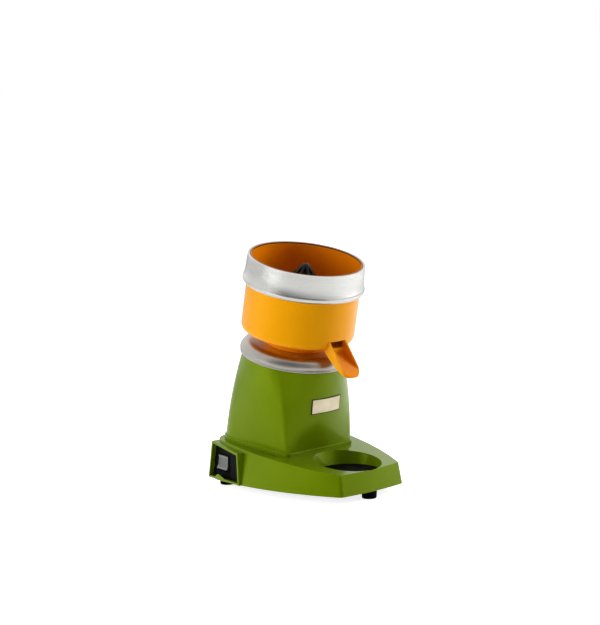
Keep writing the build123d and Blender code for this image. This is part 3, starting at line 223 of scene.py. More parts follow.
class Effects:
    """Shader groups that several finishes share, each built once."""

    DRIFT_RANGE = (0.35, 0.65)
    PATCH_RANGE = (0.38, 0.64)
    BROAD_SHARE = 0.06
    SWIRL_SCALE = 9.0
    WAVER = 0.0006
    BRUSH_STRETCH = (0.02, 1.0, 1.0)
    SCUFF_CELLS = 7.0
    HAIR_WIDTH = 0.012
    COVER_SHARE = 0.5
    COVER_RANGE = (0.52, 0.68)

    @staticmethod
    def start(name: str, scale: str, *gives: str) -> tuple[Wiring, Outputs]:
        """Starts a group that takes a Vector and a named scale and gives named numbers."""
        takes = {"Vector": "Vector", scale: "Float"}
        return Wiring.group(name, "ShaderNodeTree", takes, dict.fromkeys(gives, "Float"))

    @classmethod
    @cache
    def drift(cls) -> Tree:
        """Slow change of tone over a surface, from a shaded to a full colour.

        Returns:
            The group, with Vector, Scale, Full and Shade in and Color out.
        """
        takes = {"Vector": "Vector", "Scale": "Float", "Full": "Color", "Shade": "Color"}
        wire, given = Wiring.group("Tone drift", "ShaderNodeTree", takes, {"Color": "Color"})
        cloud = wire.noise(given["Vector"], given["Scale"], detail=3.0, roughness=0.55)
        share = wire.ranged(cloud[0], *cls.DRIFT_RANGE, 0.0, 1.0)
        wire.node("NodeGroupOutput", {"Color": wire.blend(share, given["Shade"], given["Full"])})
        return wire.tree

    @classmethod
    @cache
    def grain(cls) -> Tree:
        """Fine unevenness of a paint, moulding or rubber skin.

        Returns:
            The group, with Vector and Scale in and Height and Patches out.
        """
        wire, given = cls.start("Skin grain", "Scale", "Height", "Patches")
        fine = wire.noise(given["Vector"], given["Scale"], detail=2.0)
        broad_scale = wire.times(given["Scale"], cls.BROAD_SHARE)
        broad = wire.noise(given["Vector"], broad_scale, detail=4.0, roughness=0.6)
        patches = wire.ranged(broad[0], *cls.PATCH_RANGE, 0.0, 1.0)
        wire.node("NodeGroupOutput", {"Height": fine[0], "Patches": patches})
        return wire.tree

    @classmethod
    @cache
    def spun(cls) -> Tree:
        """Rings that a tool leaves round the motor axis, read from axis coordinates.

        Returns:
            The group, with Vector and Pitch in and Lines and Bands out.
        """
        wire, given = cls.start("Spun rings", "Pitch", "Lines", "Bands")
        parts = wire.parts(given["Vector"])
        waver = wire.times(wire.noise(given["Vector"], cls.SWIRL_SCALE, detail=1.0)[0], cls.WAVER)
        section = wire.vector(wire.math("ADD", wire.radius(parts), waver), parts[2])
        lines = wire.noise(section, given["Pitch"], detail=4.0, roughness=0.7, noise_dimensions="2D")
        broad_pitch = wire.times(given["Pitch"], cls.BROAD_SHARE)
        bands = wire.noise(section, broad_pitch, detail=2.0, noise_dimensions="2D")
        wire.node("NodeGroupOutput", {"Lines": lines[0], "Bands": bands[0]})
        return wire.tree

    @classmethod
    @cache
    def brushed(cls) -> Tree:
        """Straight brush marks along X.

        Returns:
            The group, with Vector and Pitch in and Lines out.
        """
        wire, given = cls.start("Brush marks", "Pitch", "Lines")
        drawn = wire.node("ShaderNodeVectorMath", {0: given["Vector"], 1: cls.BRUSH_STRETCH}, operation="MULTIPLY")
        lines = wire.noise(drawn.outputs[0], given["Pitch"], detail=4.0, roughness=0.7)
        wire.node("NodeGroupOutput", {"Lines": lines[0]})
        return wire.tree

    @classmethod
    @cache
    def scuffs(cls) -> Tree:
        """Sparse fine hairlines and rubbed spots of use.

        Returns:
            The group, with Vector and Scale in and Mask out.
        """
        wire, given = cls.start("Scuffs", "Scale", "Mask")
        bend = wire.noise(given["Vector"], given["Scale"], detail=2.0)
        numbers = {"Vector": bend[1], "Scale": cls.SCUFF_CELLS}
        cells = wire.node("ShaderNodeTexVoronoi", numbers, feature="DISTANCE_TO_EDGE")
        hair = wire.ranged(cells.outputs[0], 0.0, cls.HAIR_WIDTH, 1.0, 0.0)
        cloud = wire.noise(given["Vector"], wire.times(given["Scale"], cls.COVER_SHARE), detail=3.0)
        cover = wire.ranged(cloud[0], *cls.COVER_RANGE, 0.0, 1.0)
        wire.node("NodeGroupOutput", {"Mask": wire.times(hair, cover)})
        return wire.tree


class Texture(Enum):
    """What the hand of the maker leaves on a surface."""

    SKIN = "an even skin with fine grain"
    SPUN = "rings round the motor axis"
    BRUSHED = "straight brush marks"
    STACKED = "thin sheets across the motor axis"
    WOUND = "wire wound round the motor axis"


@dataclass(frozen=True)
class MotorAxis:
    """The leaning line that the round pieces share."""

    origin: Triple
    lean: float

    def matrix(self) -> Matrix:
        """Gives the turn and shift from axis coordinates to the juicer's frame."""
        return Matrix.Translation(self.origin) @ Matrix.Rotation(self.lean, 4, "X")

    @classmethod
    def from_joint(cls, name: str) -> "MotorAxis":
        """Reads the axis through the place of the joint with this name."""
        joint = joint_named(name)
        return cls(tuple(joint["pos_m"]), math.atan2(-joint["axis"][1], joint["axis"][2]))


AXIS = MotorAxis.from_joint("motor_spin")


@dataclass(frozen=True)
class Finish:
    """One finish of the juicer, with the values that its material is built from."""

    name: str
    full: Screen
    shade: Screen
    texture: Texture = Texture.SKIN
    metallic: float = 0.0
    smooth: float = 0.3
    rough: float = 0.45
    specular: float = 0.5
    tint: Triple = (1.0, 1.0, 1.0)
    drift_scale: float = 14.0
    grain_scale: float = 420.0
    relief: float = 0.05
    relief_depth: float = 0.0004
    scuffed: float = 0.0
    scuff_scale: float = 22.0

    def axis_place(self, wire: Wiring, place: Socket) -> Socket:
        """Turns object coordinates to the motor axis."""
        turned = {"Vector": place, "Location": AXIS.origin, "Rotation": (AXIS.lean, 0.0, 0.0)}
        return wire.node("ShaderNodeMapping", turned, vector_type="TEXTURE").outputs[0]

    def coordinates(self, wire: Wiring) -> Socket:
        """Gives object coordinates, turned to the motor axis where the texture follows it."""
        place = wire.node("ShaderNodeTexCoord").outputs["Object"]
        return place if self.texture in (Texture.SKIN, Texture.BRUSHED) else self.axis_place(wire, place)

    def pattern(self, wire: Wiring, tree: Tree, place: Socket, scale: float) -> Outputs:
        """Places one of the shared groups at some coordinates, with its scale or pitch."""
        return wire.node("ShaderNodeGroup", {0: place, 1: scale}, node_tree=tree).outputs

    def marks(self, wire: Wiring, place: Socket) -> tuple[Socket, Socket]:
        """Adds the texture's own pattern.

        Args:
            wire: Wiring of the material.
            place: Coordinates to read.

        Returns:
            The sockets for height and for roughness, both from 0 to 1.
        """
        shared = {
            Texture.SKIN: (Effects.grain, "Height", "Patches"),
            Texture.BRUSHED: (Effects.brushed, "Lines", "Lines"),
            Texture.SPUN: (Effects.spun, "Lines", "Bands"),
        }
        if self.texture in shared:
            effect, height, patches = shared[self.texture]
            given = self.pattern(wire, effect(), place, self.grain_scale)
            return given[height], given[patches]
        bands = {"wave_type": "BANDS", "bands_direction": "Z", "wave_profile": "SAW"}
        rings = {"wave_type": "RINGS", "rings_direction": "Z"}
        numbers = {"Vector": place, "Scale": self.grain_scale, "Distortion": 0.6, "Detail": 1.0}
        wave = wire.node("ShaderNodeTexWave", numbers, **(bands if self.texture is Texture.STACKED else rings))
        return wave.outputs[1], wave.outputs[1]

    def colour(self, wire: Wiring, place: Socket) -> Socket:
        """Adds the base colour, which drifts slowly between the full and the shaded tone."""
        tones = {"Vector": place, "Scale": self.drift_scale, "Full": linear(self.full), "Shade": linear(self.shade)}
        return wire.node("ShaderNodeGroup", tones, node_tree=Effects.drift()).outputs["Color"]

    def material(self) -> bpy.types.Material:
        """Builds the material once and gives it.

        Returns:
            The node material of this finish.
        """
        known = bpy.data.materials.get(self.name)
        if known:
            return known
        made = bpy.data.materials.new(self.name)
        made.diffuse_color = linear(self.full)
        wire = Wiring.cleared(made)
        place = self.coordinates(wire)
        height, patches = self.marks(wire, place)
        roughness = wire.ranged(patches, 0.0, 1.0, self.smooth, self.rough)
        if self.scuffed:
            worn = self.pattern(wire, Effects.scuffs(), place, self.scuff_scale)["Mask"]
            roughness = wire.math("ADD", roughness, wire.times(worn, self.scuffed))
        bumps = {"Height": height, "Strength": self.relief, "Distance": self.relief_depth}
        shader = wire.node("ShaderNodeBsdfPrincipled", {
            "Base Color": self.colour(wire, place), "Metallic": self.metallic, "Roughness": roughness,
            "Specular IOR Level": self.specular, "Specular Tint": (*self.tint, 1.0),
            "Normal": wire.node("ShaderNodeBump", bumps).outputs[0],
        })
        wire.node("ShaderNodeOutputMaterial", {"Surface": shader.outputs[0]})
        return made


@dataclass(frozen=True)
class Metal(Finish):
    """Finish of bare metal."""

    metallic: float = 1.0


@dataclass(frozen=True)
class PlateFinish(Metal):
    """Brushed plate that is darker within a border along its outline."""

    edge: Screen = (0, 0, 0)
    border: float = 0.0016
    border_core: float = 0.6

    def colour(self, wire: Wiring, place: Socket) -> Socket:
        """Adds the brushed tone, darker within a border of the plate's outline.

        Args:
            wire: Wiring of the material.
            place: Coordinates to read.

        Returns:
            The colour's socket.
        """
        low, high = (Vector(corner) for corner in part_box("nameplate"))
        middle, half = (low + high) / 2, (high - low) / 2
        parts = wire.parts(place)
        margins = []
        for side in (0, 2):
            away = wire.math("ABSOLUTE", wire.math("SUBTRACT", parts[side], middle[side]))
            margins.append(wire.math("SUBTRACT", half[side], away))
        inside = wire.math("MINIMUM", *margins)
        share = wire.ranged(inside, self.border * self.border_core, self.border, 1.0, 0.0)
        return wire.blend(share, super().colour(wire, place), linear(self.edge))


@dataclass(frozen=True)
class BowlFinish(Finish):
    """Moulding with painted shade: inside, underneath and in its spout it takes a deeper, redder tone than on its
    outer skin, painted in for the shade and the orange light bounced there.

    Inside, its mouth ends in a painted highlight line and a painted shade line above it. Heights and radii are about
    the motor axis, in metres.
    """

    # painted shade: the deeper tone inside, underneath and in the spout
    painted_shade_tone: Screen = (0, 0, 0)
    # painted shade line at the top of the mouth: its colour, then its height and that of the painted highlight line
    # below it
    painted_shade_line_tone: Screen = (0, 0, 0)
    painted_shade_line_height: float = 0.1442
    painted_highlight_line_height: float = 0.1432
    line_fade: float = 0.0003
    mouth_radius: float = 0.0826
    mouth_fade: float = 0.0002
    skin_radius: float = 0.0814
    outer_radius: float = 0.0832
    skin_fade: float = 0.0006
    channel_half: float = 0.0148
    channel_fade: float = 0.0004

    def colour(self, wire: Wiring, place: Socket) -> Socket:
        """Adds the outer tone, the deeper tone of painted shade inside and between the spout's walls, and the painted
        highlight and shade lines of the mouth.

        Args:
            wire: Wiring of the material.
            place: Coordinates to read.

        Returns:
            The colour's socket.
        """
        def under(value: Socket, limit: float, fade: float) -> Socket:
            """Gives 1 below a limit and 0 above it."""
            return wire.ranged(value, limit - fade, limit, 1.0, 0.0)

        # painted shade: the inside, the underside and the spout's channel take the deeper, redder tone
        parts = wire.parts(self.axis_place(wire, place))
        radius = wire.radius(parts)
        inside = wire.times(under(radius, self.skin_radius, self.skin_fade),
                            under(parts[2], self.painted_highlight_line_height, self.line_fade))
        between = under(wire.math("ABSOLUTE", parts[0]), self.channel_half, self.channel_fade)
        beyond = under(parts[1], -self.outer_radius, self.skin_fade)
        share = wire.math("MAXIMUM", inside, wire.times(between, beyond))
        with_painted_shade = wire.blend(share, super().colour(wire, place), linear(self.painted_shade_tone))
        # painted shade line at the top of the mouth; just below it the outer tone stays as a painted highlight line
        above = wire.ranged(parts[2], self.painted_shade_line_height - self.line_fade, self.painted_shade_line_height, 0.0, 1.0)
        line = wire.times(under(radius, self.mouth_radius, self.mouth_fade), above)
        return wire.blend(line, with_painted_shade, linear(self.painted_shade_line_tone))


FINISHES: dict[str, Finish] = {
    "green_paint": Finish(
        "Green stove enamel", (105, 128, 3), (99, 121, 2), smooth=0.17, rough=0.25, specular=0.85,
        tint=(0.65, 1.0, 0.03), drift_scale=9.0, grain_scale=520.0, relief=0.03, scuffed=0.12),
    "black_rubber": Finish(
        "Black rubber", (9, 9, 10), (6, 6, 7), smooth=0.6, rough=0.8, specular=0.04,
        grain_scale=900.0, relief=0.12),
    "black_sheet": Finish(
        "Black sheet paint", (28, 28, 28), (19, 19, 20), smooth=0.38, rough=0.55, specular=0.3,
        grain_scale=700.0, relief=0.08, scuffed=0.15),
    "zinc_steel": Metal(
        "Zinc plate", (196, 196, 190), (168, 168, 165), smooth=0.25, rough=0.45, grain_scale=600.0),
    "plate_metal": PlateFinish(
        "Brushed plate", (226, 214, 186), (206, 194, 166), Texture.BRUSHED, smooth=0.28, rough=0.42,
        grain_scale=2600.0, relief=0.10, drift_scale=30.0, edge=(58, 52, 40)),
    "stainless": Metal(
        "Spun stainless", (192, 187, 180), (176, 171, 164), Texture.SPUN, smooth=0.24, rough=0.40,
        grain_scale=2600.0, relief=0.06, scuffed=0.08),
    "turned_aluminium": Metal(
        "Turned aluminium", (206, 207, 209), (186, 187, 190), Texture.SPUN, smooth=0.28, rough=0.44,
        grain_scale=1500.0, relief=0.16),
    "black_plastic": Finish(
        "Black moulding", (11, 11, 12), (8, 8, 9), smooth=0.34, rough=0.48, specular=0.04,
        grain_scale=650.0),
    # painted highlight: a lighter copy of the black moulding, for the highlights on the cone's ribs
    "cone_painted_highlight_plastic": Finish(
        "Black cone moulding with painted highlight", (27, 25, 25), (20, 19, 19), smooth=0.28, rough=0.42, specular=0.22,
        grain_scale=650.0),
    "brass_tabs": Metal(
        "Brass tab", (214, 176, 98), (190, 150, 78), smooth=0.25, rough=0.42, grain_scale=500.0),
    "motor_iron": Metal(
        "Stacked sheets", (112, 112, 114), (86, 84, 84), Texture.STACKED, smooth=0.40, rough=0.62,
        grain_scale=320.0, relief=0.5),
    "copper_winding": Metal(
        "Wound wire", (176, 98, 52), (140, 70, 34), Texture.WOUND, rough=0.50, grain_scale=160.0,
        relief=0.6),
    "bearing_steel": Metal(
        "Ground steel", (205, 206, 208), (184, 185, 188), Texture.SPUN, smooth=0.12, rough=0.26,
        grain_scale=1800.0),
    "pale_plastic": Finish(
        "Pale moulding", (228, 224, 212), (214, 209, 194), smooth=0.35, rough=0.5, grain_scale=500.0),
    # painted shade inside and under the bowl and in its spout, with painted highlight and shade lines at the mouth
    "orange_plastic": BowlFinish(
        "Orange moulding with painted shade", (247, 168, 4), (242, 162, 2), smooth=0.16, rough=0.26, specular=0.9,
        tint=(1.0, 0.35, 0.02), drift_scale=8.0, grain_scale=380.0, relief=0.025, scuffed=0.10,
        painted_shade_tone=(255, 145, 4), painted_shade_line_tone=(104, 48, 8)),
    "spun_aluminium": Metal(
        "Spun aluminium", (223, 223, 219), (214, 214, 211), Texture.SPUN, smooth=0.22, rough=0.36,
        grain_scale=2200.0, relief=0.06, scuffed=0.06),
    "bronze": Metal(
        "Sintered bronze", (178, 138, 84), (150, 112, 66), smooth=0.35, rough=0.55,
        grain_scale=1200.0, relief=0.15),
    "pale_frame": Finish(
        "Pale raised frame", (158, 160, 158), (148, 150, 148), rough=0.42, specular=0.3,
        grain_scale=520.0, relief=0.03),
    "grey_plastic": Finish(
        "Grey moulding", (114, 116, 112), (104, 106, 102), smooth=0.26, rough=0.38, specular=0.3,
        grain_scale=520.0, relief=0.03),
}


def finish_of(node: str) -> Finish:
    """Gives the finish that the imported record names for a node."""
    rows = frame["record"]["subparts"]
    return FINISHES[next(row["material_slot"] for row in rows if row["node"] == node)]


def linked(name: str, data: bpy.types.ID) -> Piece:
    """Makes an object at the origin and links it to the scene.

    Args:
        name: Name of the object.
        data: Its mesh, camera or light.

    Returns:
        The object.
    """
    made = bpy.data.objects.new(name, data)
    bpy.context.scene.collection.objects.link(made)
    return made


def shade(data: bpy.types.Mesh) -> None:
    """Shades a mesh smooth across its flatter edges."""
    data.polygons.foreach_set("use_smooth", [True] * len(data.polygons))
    data.set_sharp_from_angle(angle=SMOOTH_UNDER)


def mesh_piece(name: str, shape: bmesh.types.BMesh) -> Piece:
    """Makes an object at the origin from a finished bmesh.

    Args:
        name: Name of the piece.
        shape: The mesh, which is freed.

    Returns:
        The linked object.
    """
    bmesh.ops.remove_doubles(shape, verts=shape.verts, dist=TINY)
    bmesh.ops.recalc_face_normals(shape, faces=shape.faces)
    data = bpy.data.meshes.new(name)
    shape.to_mesh(data)
    shape.free()
    shade(data)
    return linked(name, data)


def skin(shape: bmesh.types.BMesh, rings: Sequence[Sequence[bmesh.types.BMVert]]) -> None:
    """Spans faces between closed rings that have equally many points.

    Args:
        shape: The mesh that holds the points.
        rings: The rings in order; one that repeats a single point closes the skin there.
    """
    for low, high in zip(rings, rings[1:]):
        for step in range(len(low)):
            following = (step + 1) % len(low)
            corners = list(dict.fromkeys([low[step], low[following], high[following], high[step]]))
            if len(corners) > 2:
                shape.faces.new(corners)


def lathe(outline: Sequence[Point], steps: int) -> bmesh.types.BMesh:
    """Turns a (radius, height) outline in millimetres about Z.

    Args:
        outline: Points from one end to the other; an end on the axis is closed there.
        steps: Number of faces round the axis.

    Returns:
        The turned mesh in metres.
    """
    shape = bmesh.new()
    rows = []
    angles = [2 * math.pi * step / steps for step in range(steps)]
    for radius, height in outline:
        if radius < TINY:
            rows.append([shape.verts.new((0.0, 0.0, height * MM))] * steps)
            continue
        rows.append([shape.verts.new((radius * MM * math.cos(angle), radius * MM * math.sin(angle), height * MM))
                     for angle in angles])
    skin(shape, rows)
    return shape


def arc(start: Point, through: Point, end: Point, count: int) -> list[Point]:
    """Points of the circle arc through three points.

    Args:
        start: First point.
        through: A point on the way.
        end: Last point.
        count: Number of runs between the points.

    Returns:
        The points, with both ends.
    """
    (ax, ay), (bx, by), (cx, cy) = start, through, end
    twice = 2 * (ax * (by - cy) + bx * (cy - ay) + cx * (ay - by))
    a2, b2, c2 = ax * ax + ay * ay, bx * bx + by * by, cx * cx + cy * cy
    mx = (a2 * (by - cy) + b2 * (cy - ay) + c2 * (ay - by)) / twice
    my = (a2 * (cx - bx) + b2 * (ax - cx) + c2 * (bx - ax)) / twice
    radius = math.hypot(ax - mx, ay - my)
    first = math.atan2(ay - my, ax - mx)
    middle = (math.atan2(by - my, bx - mx) - first) % (2 * math.pi)
    last = (math.atan2(cy - my, cx - mx) - first) % (2 * math.pi)
    sweep = last if middle < last else last - 2 * math.pi
    turns = [first + sweep * step / count for step in range(count + 1)]
    return [(mx + radius * math.cos(turn), my + radius * math.sin(turn)) for turn in turns]


def soften(corners: Sequence[Point], radius: float, steps: int = 4, most: float = 0.45) -> list[Point]:
    """Rounds every corner of a closed outline.

    Args:
        corners: Corners in order.
        radius: Length taken off each side of a corner, less where the sides are short.
        steps: Runs in each rounding.
        most: Largest share of a side that a rounding takes.

    Returns:
        The rounded outline, with its first point again at the end.
    """
    outline = []
    count = len(corners)
    for number in range(count):
        before, at, after = (Vector(corners[(number + shift) % count]) for shift in (-1, 0, 1))
        cut = min(radius, most * (at - before).length, most * (after - at).length)
        start = at + (before - at).normalized() * cut
        end = at + (after - at).normalized() * cut
        for step in range(steps + 1):
            share = step / steps
            point = start.lerp(at, share).lerp(at.lerp(end, share), share)
            outline.append((point.x, point.y))
    return outline + outline[:1]


def run_tree(piece: Piece, name: str, fill: Callable[[Wiring, Outputs], Socket], finish: Finish,
             inputs: dict[str, float | int | Triple]) -> None:
    """Runs a Geometry Nodes tree on a piece and keeps its result as a plain mesh.

    Args:
        piece: Object that carries the starting mesh.
        name: Name of the tree, which is built the first time.
        fill: Wires the tree from its inputs and gives the socket of the shape.
        finish: Finish of the shape.
        inputs: Values by socket name; their types give the sockets' types.
    """
    shape, forms = {"Geometry": "Geometry"}, {float: "Float", int: "Int", tuple: "Vector"}
    tree = bpy.data.node_groups.get(name)
    if tree is None:
        takes = {key: forms[type(value)] for key, value in inputs.items()}
        wire, given = Wiring.group(name, "GeometryNodeTree", {**shape, **takes, "Finish": "Material"}, shape)
        tree = wire.give_shape(fill(wire, given), given["Finish"])
    inputs = {**inputs, "Finish": finish.material()}
    modifier = piece.modifiers.new(name, "NODES")
    modifier.node_group = tree
    for socket in tree.interface.items_tree:
        if socket.in_out == "INPUT" and socket.name in inputs:
            modifier[socket.identifier] = inputs[socket.name]
    bpy.context.view_layer.update()
    ready = piece.evaluated_get(bpy.context.evaluated_depsgraph_get())
    result = bpy.data.meshes.new_from_object(ready)
    piece.modifiers.clear()
    piece.data = result


def settle(piece: Piece, place: Matrix, body: str, slot: str, *nodes: str) -> Piece:
    """Puts a finished piece in the juicer's frame and ties it to its body.

    Args:
        piece: The piece, built about its own origin.
        place: Turn and shift into the juicer's frame, baked into the mesh.
        body: Body that it rides on.
        slot: The record's slot for its finish; not used.
        *nodes: CAD nodes that it stands for.

    Returns:
        The piece.
    """
    piece.data.transform(place)
    shade(piece.data)
    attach(piece, body)
    if nodes:
        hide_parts(*nodes)
    return piece


@dataclass
class Assembly:
    """Some of the juicer's nodes that belong together and take the record's finishes.

    The sizes of the pieces that an assembly adds are in millimetres.
    """

    nodes: tuple[str, ...]

    def dress(self) -> None:
        """Puts the record's finish on each node and reports it."""
        for name in self.nodes:
            shown = frame["nodes"][name]
            shown.data.materials.clear()
            shown.data.materials.append(finish_of(name).material())
            LOG.info("dressed %s", name)

    def pieces(self) -> list[Piece]:
        """Makes the pieces that the nodes alone don't give."""
        return []

    def build(self) -> None:
        """Dresses the nodes and makes and reports the pieces."""
        self.dress()
        for piece in self.pieces():
            LOG.info("built %s with %d faces", piece.name, len(piece.data.polygons))


@dataclass
class ScrewSet:
    """Cross-recessed screws of one size, which a node tree sets on their spots with the heads turned at random.

    The sizes are in millimetres. The recess is a share of the head's width, and the shares in capitals, which all
    sets have in common, are of the recess's width for its bars, of the head's height for its depth, and of the head's
    radius for the crown.
    """

    name: str
    node: str
    spots: Sequence[Triple]
    radius: float
    length: float
    head_radius: float
    head: float
    facing: Triple = (0.0, 0.0, 0.0)
    recess: float = 0.62
    seed: int = 7
    RECESS_BAR: ClassVar[float] = 0.26
    RECESS_DEPTH: ClassVar[float] = 1.1
    CROWN: ClassVar[float] = 0.74
    SHANK_SIDES: ClassVar[int] = 24
    HEAD_SIDES: ClassVar[int] = 36

    @classmethod
    def wired(cls, wire: Wiring, given: Outputs) -> Socket:
        """Wires shank and head, the cross cut from the head, and a copy on every spot.

        Args:
            wire: Wiring of the tree.
            given: The tree's inputs.

        Returns:
            The socket of the copies.
        """
        length, head = given["Shank Length"], given["Head Height"]
        half_head = wire.times(head, 0.5)
        top = wire.times(head, -1.0)
        reach = wire.math("ADD", length, half_head)
        shank = wire.node("GeometryNodeMeshCylinder", {
            "Vertices": cls.SHANK_SIDES, "Radius": given["Shank Radius"], "Depth": reach,
        }).outputs[0]
        middle = wire.math("SUBTRACT", wire.times(length, 0.5), wire.times(half_head, 0.5))
        skirt = wire.node("GeometryNodeMeshCylinder", {
            "Vertices": cls.HEAD_SIDES, "Radius": given["Head Radius"], "Depth": half_head,
        }).outputs[0]
        crown = wire.node("GeometryNodeMeshCone", {
            "Vertices": cls.HEAD_SIDES, "Radius Bottom": wire.times(given["Head Radius"], cls.CROWN),
            "Radius Top": given["Head Radius"], "Depth": half_head,
        }).outputs[0]
        heights = ((shank, middle), (skirt, wire.times(half_head, -0.5)), (crown, top))
        whole = wire.boolean("UNION", [wire.lifted(shape, height) for shape, height in heights])
        wide, thin = given["Recess Width"], wire.times(given["Recess Width"], cls.RECESS_BAR)
        depth = wire.times(head, cls.RECESS_DEPTH)
        bars = []
        for across, along in ((wide, thin), (thin, wide)):
            bar = wire.node("GeometryNodeMeshCube", {"Size": wire.vector(across, along, depth)}).outputs[0]
            bars.append(wire.lifted(bar, top))
        driven = wire.boolean("DIFFERENCE", bars, whole)
        copies = wire.node("GeometryNodeInstanceOnPoints", {
            "Points": given["Geometry"], "Instance": driven, "Rotation": given["Facing"],
        }).outputs[0]
        chance = wire.node("FunctionNodeRandomValue", {3: 2 * math.pi, "Seed": given["Seed"]}, data_type="FLOAT")
        turns = {"Instances": copies, "Rotation": wire.vector(z=chance.outputs[1])}
        return wire.node("GeometryNodeRotateInstances", turns).outputs[0]

    def build(self, place: Matrix) -> Piece:
        """Sets the screws.

        Args:
            place: Turn and shift from the spots' frame to the juicer's.

        Returns:
            The piece that stands for the node's screws.
        """
        data = bpy.data.meshes.new(self.name)
        data.from_pydata([tuple(MM * value for value in spot) for spot in self.spots], [], [])
        piece = linked(self.name, data)
        run_tree(piece, "Driven screws", self.wired, FINISHES["zinc_steel"], {
            "Shank Radius": self.radius * MM, "Shank Length": self.length * MM,
            "Head Radius": self.head_radius * MM, "Head Height": self.head * MM,
            "Recess Width": 2 * self.recess * self.head_radius * MM, "Facing": self.facing, "Seed": self.seed,
        })
        return settle(piece, place, "base", "zinc_steel", self.node)


@dataclass
class Housing(Assembly):
    """Painted casting with its crown ring, glass mat, cable grommet and bare plate."""

    nodes: tuple[str, ...] = ("body_casting", "collar_ring", "glass_mat", "cable_gland", "nameplate")


@dataclass
class Underside(Assembly):
    """Bottom plate and feet, with the screws that show from below."""

    nodes: tuple[str, ...] = ("bottom_plate", "foot_front", "foot_rear_left", "foot_rear_right", "foot_nuts")
    plate_under: float = 12.6
    foot_pocket: float = 5.0
    plate_spots: tuple[Point, ...] = ((64.0, -120.0), (82.0, -12.0), (45.0, 83.0))
    foot_spots: tuple[Point, ...] = ((0.0, -149.0), (-73.0, 71.0), (73.0, 71.0))

    def pieces(self) -> list[Piece]:
        """Drives the screws of the plate and of the feet, on spots about the foot of the motor axis.

        Returns:
            The two sets of screws.
        """
        place = Matrix.Translation((AXIS.origin[0], AXIS.origin[1], 0.0))
        both = [(side * x, y, self.plate_under) for x, y in self.plate_spots for side in (-1, 1)]
        plate = ScrewSet("plate_screws", "bottom_plate_screws", both, radius=2.0, length=10.5, head_radius=3.8,
                         head=2.2)
        feet = [(x, y, self.foot_pocket) for x, y in self.foot_spots]
        foot = ScrewSet("driven_foot_screws", "foot_screws", feet, radius=2.5, length=12.7, head_radius=5.1,
                        head=2.8, seed=3)
        return [plate.build(place), foot.build(place)]


@dataclass
class SealSet(Assembly):
    """Spigot that carries the bowl, with its seal and screws."""

    nodes: tuple[str, ...] = ("seal_housing", "shaft_seal")
    screw_pitch: float = 26.0
    screw_count: int = 3
    screw_start: float = -90.0
    screw_seat: float = 23.5

    def pieces(self) -> list[Piece]:
        """Drives the screws round the motor axis.

        Returns:
            The screws.
        """
        count = self.screw_count
        turns = [math.radians(self.screw_start + 360 * number / count) for number in range(count)]
        spots = [(self.screw_pitch * math.cos(turn), self.screw_pitch * math.sin(turn), self.screw_seat)
                 for turn in turns]
        screws = ScrewSet("spigot_screws", "seal_housing_screws", spots, radius=2.0, length=16.1, head_radius=3.8,
                          head=2.2, facing=(math.pi, 0.0, 0.0), seed=5)
        return [screws.build(AXIS.matrix())]


@dataclass
class SwitchSet(Assembly):
    """Rocker switch in the side of the pan, with a raised frame on the rocker's dished face."""

    nodes: tuple[str, ...] = ("switch_bezel", "switch_body", "switch_terminals", "rocker_pin", "switch_rocker")
    half_width: float = 10.6
    half_height: float = 8.2
    corner: float = 1.6
    corner_steps: int = 6
    bead: float = 0.55
    bead_rise: float = 0.6
    bead_sides: int = 10
    face: float = 9.0
    dip: float = 2.5
    edge: float = 10.0
    rest: float = -10.0

    def rocker_place(self) -> Matrix:
        """Gives the rocker's own frame from its joint: X along the pin, Z out of the face.

        Returns:
            The turn and shift, with the rocker's rest tilt.
        """
        joint = joint_named("rocker_tilt")
        along = Vector(joint["axis"]).normalized()
        along = along if along.y < 0 else -along
        up = Vector((0.0, 0.0, 1.0))
        turn = Matrix((along, up, along.cross(up))).transposed().to_4x4()
        return Matrix.Translation(joint["pos_m"]) @ turn @ Matrix.Rotation(math.radians(self.rest), 4, "X")

    def pieces(self) -> list[Piece]:
        """Runs a round bead along a rounded oblong on the face.

        Returns:
            The frame.
        """
        wide, high = self.half_width, self.half_height
        corners = [(-wide, -high), (wide, -high), (wide, high), (-wide, high)]
        path = soften(corners, self.corner, self.corner_steps)[:-1]
        bow = (self.edge ** 2 + self.dip ** 2) / (2 * self.dip)
        turns = [2 * math.pi * step / self.bead_sides for step in range(self.bead_sides)]
        shape = bmesh.new()
        rings = []
        for number, (x, y) in enumerate(path):
            ahead, behind = Vector(path[(number + 1) % len(path)]), Vector(path[number - 1])
            side = (ahead - behind).normalized().orthogonal()
            level = self.face - self.dip + bow - math.sqrt(bow ** 2 - y ** 2)
            rings.append([])
            for turn in turns:
                out, rise = self.bead * math.cos(turn), self.bead_rise * self.bead * math.sin(turn)
                spot = ((x + side.x * out) * MM, (y + side.y * out) * MM, (level + rise) * MM)
                rings[-1].append(shape.verts.new(spot))
        skin(shape, rings + rings[:1])
        piece = mesh_piece("rocker_frame", shape)
        piece.data.materials.append(FINISHES["pale_frame"].material())
        return [settle(piece, self.rocker_place(), "rocker", "grey_plastic")]


@dataclass
class BowlSet(Assembly):
    """Juice bowl with its splash band."""

    nodes: tuple[str, ...] = ("bowl", "splash_band")


@dataclass
class MotorSet(Assembly):
    """Motor, bearings, shaft and what feeds them inside the casting."""

    nodes: tuple[str, ...] = (
        "stator_core", "stator_windings", "upper_end_shield", "lower_end_shield", "motor_bolts",
        "bearing_outer_rings", "bearing_balls", "bearing_inner_rings", "motor_shaft", "drive_pin", "rotor_core",
        "cooling_fan", "run_capacitor", "capacitor_clip", "terminal_block",
    )


